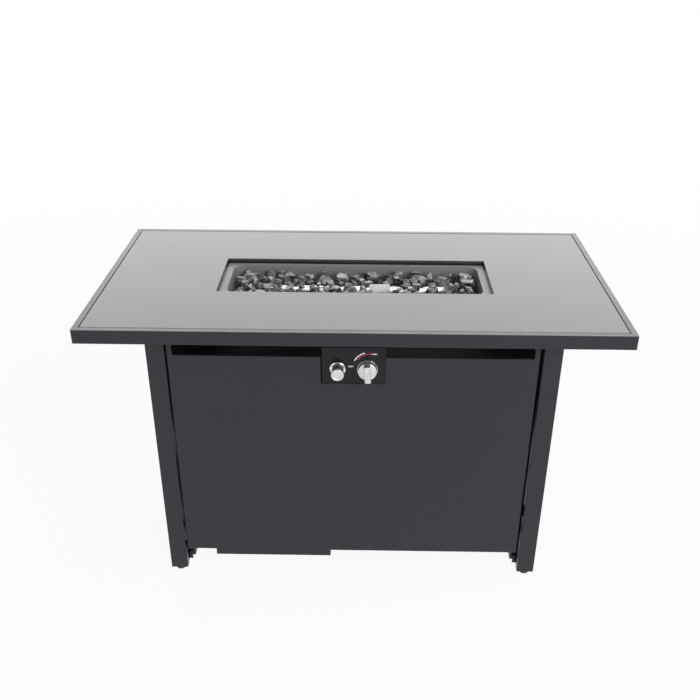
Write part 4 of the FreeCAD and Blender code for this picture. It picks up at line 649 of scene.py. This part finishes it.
# the finish of every slot of the record, and of the nodes that take another one
SLOT_FINISHES = {finish.name: finish for finish in vars(Finishes).values() if isinstance(finish, Finish)}
NODE_FINISHES = {
    "pilot_shield": Finishes.SHIELD,
    "control_box": Finishes.CONTROL,
    "knob_bezel": Finishes.DISH,
}


# modelling by hand

def deselect() -> None:
    """Leave edit mode and select nothing."""
    if bpy.context.object is not None and bpy.context.object.mode != "OBJECT":
        bpy.ops.object.mode_set(mode="OBJECT")
    bpy.ops.object.select_all(action="DESELECT")


def pick(*things: bpy.types.Object) -> None:
    """Select these objects alone, the first one active."""
    deselect()
    for thing in things:
        thing.select_set(True)
    bpy.context.view_layer.objects.active = things[0]


def settle(thing: bpy.types.Object) -> bpy.types.Object:
    """Bring an object's place, turn and size into its mesh."""
    pick(thing)
    bpy.ops.object.transform_apply(location=True, rotation=True, scale=True)
    return thing


def modify(thing: bpy.types.Object, kind: str, **settings: object) -> None:
    """Add one modifier and apply it.

    Args:
        thing: The object.
        kind: The modifier's type.
        settings: The modifier's properties.
    """
    pick(thing)
    modifier = thing.modifiers.new(kind.lower(), kind)
    for name, value in settings.items():
        setattr(modifier, name, value)
    bpy.ops.object.modifier_apply(modifier=modifier.name)


def round_edges(thing: bpy.types.Object, width: float, segments: int, sharper: float = 1.0) -> None:
    """Bevel the sharp edges of a piece.

    Args:
        thing: The piece.
        width: The bevel's width, in millimetres.
        segments: The number of faces across it.
        sharper: The angle from which an edge is sharp, in radians.
    """
    modify(thing, "BEVEL", width=width * MM, segments=segments, limit_method="ANGLE", angle_limit=sharper)


def block(middle: Sequence[float], size: Sequence[float]) -> bpy.types.Object:
    """A box at its size and place, in millimetres."""
    deselect()
    bpy.ops.mesh.primitive_cube_add(size=1.0, location=[part * MM for part in middle])
    thing = bpy.context.object
    thing.scale = [part * MM for part in size]
    return settle(thing)


def drum(radius: float, back: float, front: float, vertices: int) -> bpy.types.Object:
    """A cylinder along Y from its back to its front, in millimetres."""
    deselect()
    middle = (0.0, (back + front) / 2 * MM, 0.0)
    bpy.ops.mesh.primitive_cylinder_add(vertices=vertices, radius=radius * MM, depth=abs(back - front) * MM,
                                        location=middle, rotation=(QUARTER, 0.0, 0.0))
    return settle(bpy.context.object)


def rod(radius: float, low: float, high: float, vertices: int = 32) -> bpy.types.Object:
    """A cylinder along Z from its foot to its top, in millimetres."""
    deselect()
    bpy.ops.mesh.primitive_cylinder_add(vertices=vertices, radius=radius * MM, depth=(high - low) * MM,
                                        location=(0.0, 0.0, (low + high) / 2 * MM))
    return settle(bpy.context.object)


def edit(thing: bpy.types.Object, mode: str = "FACE") -> None:
    """Enter edit mode with one kind of element."""
    pick(thing)
    bpy.ops.object.mode_set(mode="EDIT")
    bpy.ops.mesh.select_mode(type=mode)


def edit_faces(thing: bpy.types.Object, wanted: Callable[[bpy.types.MeshPolygon], bool]) -> None:
    """Enter edit mode with the wanted faces selected.

    Args:
        thing: The object.
        wanted: Says of a face whether it is wanted.
    """
    deselect()
    mesh = thing.data
    chosen = [bool(wanted(face)) for face in mesh.polygons]
    mesh.vertices.foreach_set("select", [False] * len(mesh.vertices))
    mesh.edges.foreach_set("select", [False] * len(mesh.edges))
    mesh.polygons.foreach_set("select", chosen)
    edit(thing)


def edit_end(thing: bpy.types.Object, way: Way) -> None:
    """Enter edit mode with the outermost face of one side selected.

    Args:
        thing: The object.
        way: The side.
    """
    aim = Vector(way.value)
    edge = max(face.center.dot(aim) for face in thing.data.polygons) - FLUSH * MM
    edit_faces(thing, lambda face: face.normal.dot(aim) > SQUARE_ON and face.center.dot(aim) > edge)


def extrude(x: float, y: float, z: float) -> None:
    """Extrude what is selected by so many millimetres."""
    bpy.ops.mesh.extrude_region_move(TRANSFORM_OT_translate={"value": (x * MM, y * MM, z * MM)})


def inset(thickness: float, depth: float = 0.0) -> None:
    """Inset what is selected by so many millimetres."""
    bpy.ops.mesh.inset(thickness=thickness * MM, depth=depth * MM)


def weld(gap: float) -> None:
    """Select the whole mesh and merge its points across gaps of so many millimetres."""
    bpy.ops.mesh.select_all(action="SELECT")
    bpy.ops.mesh.remove_doubles(threshold=gap * MM)


def move(thing: bpy.types.Object, axis: Pair) -> None:
    """Move a piece that was built about the Y axis right and up, in millimetres."""
    thing.location = (axis[0] * MM, 0.0, axis[1] * MM)


def join(*parts: bpy.types.Object) -> bpy.types.Object:
    """Several meshes as one object."""
    pick(*parts)
    bpy.ops.object.join()
    return bpy.context.object


def carve(thing: bpy.types.Object, tool: bpy.types.Object, operation: str = "DIFFERENCE") -> None:
    """Cut a tool out of a piece, or fuse it on, and drop the tool.

    Args:
        thing: The piece.
        tool: The tool.
        operation: DIFFERENCE to cut, UNION to fuse.
    """
    modify(thing, "BOOLEAN", operation=operation, object=tool)
    bpy.data.objects.remove(tool)


def dress(thing: bpy.types.Object, name: str, finish: Finish, slot: str, body: Body, *nodes: str,
          smooth: float = 35.0) -> None:
    """Name a finished piece and give it its finish, its body and the nodes it stands for.

    Args:
        thing: The piece.
        name: Its name.
        finish: Its finish.
        slot: The record's slot that the finish comes from; not used.
        body: The body that it rides on.
        nodes: The CAD nodes that it replaces.
        smooth: The angle under which its edges shade softly, in degrees.
    """
    settle(thing)
    bpy.ops.object.shade_smooth_by_angle(angle=math.radians(smooth))
    thing.name = name
    thing.data.name = name
    thing.data.materials.clear()
    thing.data.materials.append(finish.material())
    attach(thing, body.value)
    if nodes:
        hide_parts(*nodes)
    LOG.info("%s: %d faces, %s", name, len(thing.data.polygons), finish.name)


def loose_parts(node: str, gap: float = 0.005) -> list[bpy.types.Object]:
    """The separate solids of a CAD node, as closed copies.

    Args:
        node: The node's name.
        gap: The gaps that are closed between a solid's faces, in millimetres.

    Returns:
        One object for each solid.
    """
    source = frame["nodes"][node]
    copy = source.copy()
    copy.data = source.data.copy()
    copy.parent = None
    copy.matrix_world = Matrix.Identity(4)
    for key in list(copy.keys()):
        del copy[key]
    bpy.context.scene.collection.objects.link(copy)
    edit(copy, "VERT")
    weld(gap)
    bpy.ops.mesh.separate(type="LOOSE")
    bpy.ops.object.mode_set(mode="OBJECT")
    return sorted(bpy.context.selected_objects, key=lambda part: tuple(part.data.vertices[0].co))


# sub-assemblies

@dataclass(frozen=True)
class Lamp:
    """One soft box, aimed at the table."""

    name: str
    place: tuple[float, float, float]
    size: Pair
    level: float
    target: tuple[float, float, float] = (0.0, 0.0, 0.5)

    def build(self) -> None:
        """Hang it."""
        lamp = bpy.data.lights.new(self.name, "AREA")
        lamp.shape = "RECTANGLE"
        lamp.size, lamp.size_y = self.size
        lamp.energy = self.level * math.pi * self.size[0] * self.size[1]
        box = bpy.data.objects.new(self.name, lamp)
        box.location = self.place
        aim = Vector(self.target) - Vector(self.place)
        box.rotation_euler = aim.to_track_quat("-Z", "Y").to_euler()
        box.visible_camera = False
        bpy.context.scene.collection.objects.link(box)
        LOG.info("%s hung", self.name)


@dataclass
class Studio:
    """A white room: pale floor, soft boxes behind, before and above, and the camera.

    The lens, its sensor and the floor's drop are in millimetres, the other lengths in metres.
    """

    eye: tuple[float, float, float] = (0.01333, -1.75277, 1.38285)
    turn: tuple[float, float, float] = (61.413065, -0.319439, 0.809597)
    lens: float = 43.85
    sensor: float = 36.0
    shift: Pair = (-0.002857, 0.013289)
    clip: Pair = (0.02, 200.0)
    floor_size: float = 60.0
    floor_drop: float = 0.3
    floor_colour: Colour = (0.8, 0.8, 0.8)
    ambient: float = 0.3
    near_glow: float = 0.93
    glow_reach: Pair = (1.2, 3.5)
    lamps: tuple[Lamp, ...] = (
        Lamp("back_box", (0.0, 3.0, 1.95), (4.8, 2.0), 1.6),
        Lamp("key_box", (2.0, -2.5, 2.3), (1.8, 1.8), 8.5),
        Lamp("fill_box", (-2.6, -2.2, 1.8), (1.8, 1.8), 0.9),
        Lamp("top_box", (0.5, -0.1, 3.0), (2.0, 1.6), 2.1),
    )

    def build(self) -> None:
        """Make the camera, the lights, the room and the floor."""
        self.make_camera()
        self.make_world()
        self.make_floor()
        for lamp in self.lamps:
            lamp.build()
        bpy.context.scene.view_settings.view_transform = "Standard"

    def make_camera(self) -> None:
        """Stand the camera where the photograph was taken from."""
        lens = bpy.data.cameras.new("camera")
        lens.lens = self.lens
        lens.sensor_width = self.sensor
        lens.shift_x, lens.shift_y = self.shift
        lens.clip_start, lens.clip_end = self.clip
        camera = bpy.data.objects.new("camera", lens)
        camera.location = self.eye
        camera.rotation_euler = [math.radians(angle) for angle in self.turn]
        bpy.context.scene.collection.objects.link(camera)
        bpy.context.scene.camera = camera

    @staticmethod
    def ray(graph: Graph, kind: str) -> Value:
        """One for rays of a kind, else zero."""
        return graph.node("ShaderNodeLightPath", output="Is %s Ray" % kind)

    def seen(self, graph: Graph) -> Value:
        """One for the rays that show the room, to the eye and in metal and glass, else zero."""
        shown = self.ray(graph, "Camera")
        for kind in ("Glossy", "Transmission"):
            shown = shown.larger(self.ray(graph, kind))
        return shown

    def make_world(self) -> None:
        """White where it is seen, a plain grey level where it lights."""
        world = bpy.data.worlds.new("room")
        world.use_nodes = True
        graph = Graph(world.node_tree)
        strength = graph.span(self.seen(graph), 0.0, 1.0, self.ambient, 1.0)
        graph.surface(graph.node("ShaderNodeBackground", inputs={"Color": WHITE, "Strength": strength}))
        bpy.context.scene.world = world

    def make_floor(self) -> None:
        """A pale floor that keeps a soft shadow near the table and turns plain white further off."""
        deselect()
        bpy.ops.mesh.primitive_plane_add(size=self.floor_size, location=(0.0, 0.0, -self.floor_drop * MM))
        floor = settle(bpy.context.object)
        floor.name = "floor"
        paint = bpy.data.materials.new("floor_paint")
        paint.use_nodes = True
        graph = Graph(paint.node_tree)
        away = graph.node("ShaderNodeVectorMath", {"operation": "LENGTH"}, {0: graph.place()}, "Value")
        shown = self.seen(graph) * graph.span(away, *self.glow_reach, self.near_glow, 1.0)
        matt = graph.node("ShaderNodeBsdfDiffuse", inputs={"Color": (*self.floor_colour, 1.0)})
        glow = graph.node("ShaderNodeEmission", inputs={"Color": WHITE, "Strength": 1.0})
        graph.surface(graph.node("ShaderNodeMixShader", inputs={0: shown, 1: matt, 2: glow}))
        floor.data.materials.append(paint)


@dataclass
class LavaStones:
    """Broken lava glass: each stone keeps its solid's shape and gets soft edges and chipped faces."""

    edge: float = 2.2
    sharper: float = 0.35
    chip: float = 2.0
    cell: float = 12.0

    def build(self) -> None:
        """Detail every stone and join them into one piece."""
        stones = loose_parts("lava_stones")
        for stone in stones:
            round_edges(stone, self.edge, segments=2, sharper=self.sharper)
            modify(stone, "SUBSURF", subdivision_type="SIMPLE", levels=1, render_levels=1)
        pile = join(*stones)
        texture = bpy.data.textures.new("chips", "VORONOI")
        texture.noise_scale = self.cell * MM
        modify(pile, "DISPLACE", texture=texture, texture_coords="LOCAL", strength=self.chip * MM,
               mid_level=0.5)
        dress(pile, "lava_stone_pile", Finishes.LAVA, "lava_glass", Body.TABLE, "lava_stones", smooth=32.0)


@dataclass
class Seat:
    """Where one fastener sits, and its sizes in metres."""

    base: Vector
    way: Vector
    radius: float
    head: float
    shank: float


@dataclass
class Fasteners:
    """Hexagon bolts and cross-recessed screws that stand for one CAD group, sized in millimetres.

    Attributes:
        wider: How many times as wide as the tail a head is at least.
        rim: The share of the greatest radius that only a head reaches.
        washer: The washer face's radius and height, as shares of the head's.
        lift: The height at which the hexagon begins, as a share of the head's.
        root: The thread's root radius, as a share of its outer one.
    """

    node: str
    finish: Finish
    slot: str
    wider: float = 1.2
    rim: float = 0.9
    bolt_radius: float = 6.5
    slack: float = 1.0
    chamfer: float = 0.45
    washer: Pair = (0.84, 0.14)
    lift: float = 0.12
    screw_round: float = 1.1
    recess: tuple[float, float, float] = (4.4, 0.9, 2.2)
    bolt_shank: float = 3.0
    screw_shank: float = 2.0
    root: float = 0.82
    pitch: float = 0.9
    plain: float = 0.5
    sunk: float = 0.1
    seats: list[Seat] = field(default_factory=list)

    def find_seats(self) -> None:
        """Read each fastener's place and direction from its CAD solid."""
        for part in loose_parts(self.node):
            points = [vertex.co.copy() for vertex in part.data.vertices]
            bpy.data.objects.remove(part)
            low = Vector([min(point[i] for point in points) for i in range(3)])
            high = Vector([max(point[i] for point in points) for i in range(3)])
            seats = [self.seat(points, (low + high) / 2, way) for way in Way]
            self.seats.append(next(seat for seat in seats if seat is not None))

    def seat(self, points: Sequence[Vector], middle: Vector, side: Way) -> Optional[Seat]:
        """The seat that a solid has if its head faces one way.

        Args:
            points: The solid's corners.
            middle: The middle of its box.
            side: The way that the head would face.

        Returns:
            The seat, or None where the solid is no wider at that end.
        """
        way = Vector(side.value)
        heights = [point.dot(way) for point in points]
        radii = [(point - middle - (point - middle).dot(way) * way).length for point in points]
        top, tail = max(heights), min(heights)
        head = max(radius for radius, height in zip(radii, heights) if height > top - FLUSH * MM)
        end = max(radius for radius, height in zip(radii, heights) if height < tail + FLUSH * MM)
        if head < self.wider * end:
            return None
        under = min(height for radius, height in zip(radii, heights) if radius > self.rim * max(radii))
        return Seat(middle + way * (under - middle.dot(way)), way, max(radii), top - under, under - tail)

    def build(self) -> None:
        """Model one fastener of each kind and copy it to every seat."""
        self.find_seats()
        patterns: dict[Pair, bpy.types.Object] = {}
        for number, seat in enumerate(self.seats, start=1):
            kind = (round(seat.radius, 4), round(seat.shank, 4))
            if kind not in patterns:
                bolt = seat.radius > (self.bolt_radius - self.slack) * MM
                patterns[kind] = self.make_bolt(seat) if bolt else self.make_screw(seat)
            copy = patterns[kind].copy()
            copy.data = patterns[kind].data.copy()
            bpy.context.scene.collection.objects.link(copy)
            copy.location = seat.base
            copy.rotation_euler = seat.way.to_track_quat("Z", "Y").to_euler()
            dress(copy, "%s_%02d" % (self.node, number), self.finish, self.slot, Body.TABLE, self.node)
        for thing in patterns.values():
            bpy.data.objects.remove(thing)

    def make_bolt(self, seat: Seat) -> bpy.types.Object:
        """A hexagon bolt with a chamfered head, a washer face and a threaded shank.

        Args:
            seat: A seat that gives its lengths.

        Returns:
            The bolt, head up, its seating face at the origin.
        """
        height = seat.head / MM
        head = rod(self.bolt_radius, height * self.lift, height, vertices=6)
        round_edges(head, self.chamfer, segments=2)
        face = rod(self.bolt_radius * self.washer[0], 0.0, height * self.washer[1])
        return join(head, face, self.make_shank(self.bolt_shank, seat.shank / MM))

    def make_screw(self, seat: Seat) -> bpy.types.Object:
        """A pan-head screw with a cross recess.

        Args:
            seat: A seat that gives its lengths.

        Returns:
            The screw, head up, its seating face at the origin.
        """
        height = seat.head / MM
        head = rod(seat.radius / MM, 0.0, height)
        round_edges(head, self.screw_round, segments=4)
        length, width, depth = self.recess
        for size in ((length, width, depth), (width, length, depth)):
            carve(head, block((0.0, 0.0, height), size))
        return join(head, self.make_shank(self.screw_shank, seat.shank / MM))

    def make_shank(self, radius: float, length: float) -> bpy.types.Object:
        """A shank below the origin, ridged as a thread is.

        Args:
            radius: The ridges' radius, in millimetres.
            length: The shank's length.

        Returns:
            The shank.
        """
        turns = max(1, int((length - self.plain) / self.pitch))
        shank = rod(radius * self.root, self.pitch * turns - length, self.sunk, vertices=16)
        edit_end(shank, Way.DOWN)
        for _ in range(turns):
            for scale in (1 / self.root, self.root):
                extrude(0.0, 0.0, -self.pitch / 2)
                bpy.ops.transform.resize(value=(scale, scale, 1.0), center_override=(0.0, 0.0, 0.0))
        deselect()
        return shank


@dataclass
class Dial:
    """The plain marks round the knob: two swept bars and the words HIGH and LOW.

    A bar is given by its first and last angle, each with its radius, and a word by its middle.
    """

    white_bar: tuple[Pair, Pair] = ((144.5, 33.0), (98.5, 37.6))
    red_bar: tuple[Pair, Pair] = ((135.0, 30.3), (78.5, 35.4))
    width: float = 2.0
    steps: int = 28
    high: Pair = (13.4, 34.6)
    low: Pair = (-33.9, 6.0)
    letters: float = 4.3
    weight: float = 0.2
    skin: float = 0.08
    gap: float = 0.002

    def build(self) -> None:
        """Print the marks on the panel."""
        self.make_bar("dial_bar_white", *self.white_bar, Finishes.WHITE_PRINT)
        self.make_bar("dial_bar_red", *self.red_bar, Finishes.RED_PRINT)
        self.make_word("HIGH", *self.high)
        self.make_word("LOW", *self.low)

    @staticmethod
    def spot(right: float, up: float) -> Vector:
        """A point of the panel's face from its distance to the knob, in millimetres."""
        return Vector(((KNOB_AXIS[0] + right) * MM, PANEL_FACE * MM, (KNOB_AXIS[1] + up) * MM))

    @staticmethod
    def polar(angle: float, radius: float) -> Vector:
        """A flat point from its angle in degrees and its radius."""
        return Vector((math.cos(math.radians(angle)), math.sin(math.radians(angle)))) * radius

    def make_bar(self, name: str, start: Pair, end: Pair, finish: Finish) -> None:
        """Sweep one flat bar about the knob, its middle moving outwards on the way.

        Args:
            name: The bar's name.
            start: Its first angle from the right, in degrees, and its radius there.
            end: Its last angle and its radius there.
            finish: Its ink.
        """
        first, last = self.polar(*start), self.polar(*end)
        chord = last - first
        swing = math.radians(start[0] - end[0])
        reach = chord.length / (2 * math.tan(swing / 2))
        centre = (first + last) / 2 + Vector((chord.y, -chord.x)).normalized() * reach
        arm = (first - centre).normalized()
        near, far = first - arm * self.width / 2, first + arm * self.width / 2
        deselect()
        bpy.ops.mesh.primitive_plane_add(size=1.0, location=self.spot(*first))
        bar = settle(bpy.context.object)
        for vertex, flat in zip(bar.data.vertices, (near, near, far, far)):
            vertex.co = self.spot(*flat)
        edit(bar, "VERT")
        weld(FLUSH)
        bpy.ops.mesh.select_all(action="SELECT")
        bpy.ops.mesh.spin(steps=self.steps, angle=-swing, center=self.spot(*centre), axis=(0.0, 1.0, 0.0))
        self.thicken(bar, name, finish)

    def make_word(self, word: str, right: float, up: float) -> None:
        """Print one word on the panel.

        Args:
            word: The word.
            right: Its middle from the knob, in millimetres.
            up: Its middle above the knob.
        """
        deselect()
        bpy.ops.object.text_add(rotation=(QUARTER, 0.0, 0.0), location=self.spot(right, up))
        text = bpy.context.object
        text.data.body = word
        text.data.size = self.letters * MM
        text.data.align_x = "CENTER"
        text.data.align_y = "CENTER"
        text.data.offset = self.weight * MM
        pick(text)
        bpy.ops.object.convert(target="MESH")
        self.thicken(settle(bpy.context.object), "dial_word_" + word.lower(), Finishes.WHITE_PRINT)

    def thicken(self, thing: bpy.types.Object, name: str, finish: Finish) -> None:
        """Give flat ink a thin body and its finish.

        Args:
            thing: The flat mark.
            name: Its name.
            finish: Its ink.
        """
        edit(thing)
        weld(self.gap)
        extrude(0.0, -self.skin, 0.0)
        bpy.ops.mesh.select_all(action="SELECT")
        bpy.ops.mesh.normals_make_consistent(inside=False)
        deselect()
        dress(thing, name, finish, "frame_paint", Body.TABLE)


@dataclass
class KnobDish:
    """The chrome dish behind the knob: a round rim about a black floor, built about the Y axis."""

    radius: float = 20.8
    rim: float = 1.0
    rear: float = PANEL_FACE
    front: float = -254.0
    floor: float = -252.2
    hole: float = 10.0
    past: float = 5.0
    edge: float = 0.42

    def build(self) -> None:
        """Model the dish and bring it to its place."""
        dish = drum(self.radius, self.rear, self.front, vertices=96)
        edit_end(dish, Way.FRONT)
        inset(self.rim)
        extrude(0.0, self.floor - self.front, 0.0)
        deselect()
        carve(dish, drum(self.hole, self.rear + self.past, self.front - self.past, vertices=48))
        round_edges(dish, self.edge, segments=4)
        move(dish, KNOB_AXIS)
        dress(dish, "chrome_dish", Finishes.DISH, "bright_chrome", Body.TABLE, "knob_bezel", smooth=50.0)


@dataclass
class Knob:
    """The silver knob: a turned disc with a grip across it and a white dot, built about the Y axis.

    The ring is a row of steps, each a width and a height; hollow and hub are a radius and a depth.
    """

    tilt: float = 4.0
    edge: float = 1.7
    radius: float = 18.9
    rear: float = -255.7
    front: float = -264.0
    ring: tuple[Pair, ...] = ((0.9, 0.0), (0.3, -0.25), (0.3, 0.15))
    tip: float = -279.0
    grip: float = 13.0
    grip_short: float = 0.5
    grip_root: float = 2.0
    grip_edge: float = 1.3
    hollow: Pair = (16.0, 5.8)
    hub: Pair = (6.0, 4.0)
    bore: float = 3.02
    bore_ends: Pair = (-250.0, -272.0)
    dot: Pair = (0.0, 10.8)
    dot_radius: float = 1.5
    dot_ends: Pair = (0.3, 0.08)
    dot_edge: Pair = (0.25, 0.07)

    def build(self) -> None:
        """Model the knob and its dot, then bring both to their place."""
        knob = self.make_disc()
        carve(knob, self.make_grip(), "UNION")
        carve(knob, drum(self.bore, *self.bore_ends, vertices=32))
        self.bring(knob)
        dress(knob, "turned_knob", Finishes.SILVER, "silver_knob", Body.KNOB, "control_knob")
        dot = self.make_dot()
        self.bring(dot)
        dress(dot, "knob_dot", Finishes.WHITE_PRINT, "silver_knob", Body.KNOB)

    def bring(self, thing: bpy.types.Object) -> None:
        """Turn a piece a little about the knob's axis and bring it to its place."""
        move(thing, KNOB_AXIS)
        thing.rotation_euler = (0.0, -math.radians(self.tilt), 0.0)
        settle(thing)

    def make_disc(self) -> bpy.types.Object:
        """The disc with its rounded edge, its turned ring in front and its hollow behind."""
        disc = drum(self.radius, self.rear, self.front, vertices=96)
        round_edges(disc, self.edge, segments=5)
        edit_end(disc, Way.FRONT)
        for step in self.ring:
            inset(*step)
        edit_end(disc, Way.BACK)
        inset(self.radius - self.edge - self.hollow[0])
        extrude(0.0, -self.hollow[1], 0.0)
        inset(self.hollow[0] - self.hub[0])
        extrude(0.0, self.hub[1], 0.0)
        deselect()
        return disc

    def make_grip(self) -> bpy.types.Object:
        """The grip: a bar across the disc, its ends following the disc's edge."""
        bar = drum(self.radius - self.grip_short, self.front + self.grip_root, self.tip, vertices=96)
        for side in (-1, 1):
            edit(bar)
            bpy.ops.mesh.select_all(action="SELECT")
            bpy.ops.mesh.bisect(plane_co=(side * self.grip / 2 * MM, 0.0, 0.0), plane_no=(side, 0.0, 0.0),
                                use_fill=True, clear_outer=True)
        edit_end(bar, Way.FRONT)
        bpy.ops.mesh.bevel(offset=self.grip_edge * MM, segments=4)
        deselect()
        return bar

    def make_dot(self) -> bpy.types.Object:
        """The white dot in the grip's face."""
        dot = drum(self.dot_radius, self.tip + self.dot_ends[0], self.tip - self.dot_ends[1], vertices=32)
        move(dot, self.dot)
        settle(dot)
        edit_end(dot, Way.FRONT)
        inset(*self.dot_edge)
        deselect()
        return dot


@dataclass
class IgniterButton:
    """The silver button of the igniter: a cap on its plunger, dished in steps, about the Y axis."""

    radius: float = 12.9
    rear: float = -270.3
    front: float = -278.0
    edge: float = 0.8
    dish: tuple[Pair, ...] = ((1.8, 0.0), (0.9, -1.5), (1.6, 0.5), (3.0, 0.4))
    plunger: float = 8.0
    plunger_end: float = -254.8

    def build(self) -> None:
        """Model the button and bring it to its place."""
        cap = drum(self.radius, self.rear, self.front, vertices=72)
        round_edges(cap, self.edge, segments=3)
        edit_end(cap, Way.FRONT)
        for step in self.dish:
            inset(*step)
        edit_end(cap, Way.BACK)
        inset(self.radius - self.edge - self.plunger)
        extrude(0.0, self.plunger_end - self.rear, 0.0)
        deselect()
        move(cap, BUTTON_AXIS)
        dress(cap, "dished_button", Finishes.SILVER, "silver_knob", Body.BUTTON, "igniter_button")


class Carried:
    """The CAD nodes whose shape stays, dressed in their finishes."""

    def build(self) -> None:
        """Give every node the finish of its slot."""
        for part in frame["record"]["subparts"]:
            name = part["node"]
            finish = NODE_FINISHES.get(name, SLOT_FINISHES[part["material_slot"]])
            for place in frame["nodes"][name].material_slots:
                place.material = finish.material()
            LOG.info("%s: %s", name, finish.name)


def main() -> None:
    """Build the scene, piece by piece."""
    logging.basicConfig(level=logging.INFO, format="%(name)s: %(message)s")
    Carried().build()
    Studio().build()
    LavaStones().build()
    Fasteners("frame_bolts", Finishes.BLACK_STEEL, "black_steel").build()
    Fasteners("panel_screws", Finishes.BLACK_STEEL, "black_steel").build()
    Fasteners("control_screws", Finishes.ZINC, "zinc_steel").build()
    Dial().build()
    KnobDish().build()
    Knob().build()
    IgniterButton().build()


if __name__ == "__main__":
    main()
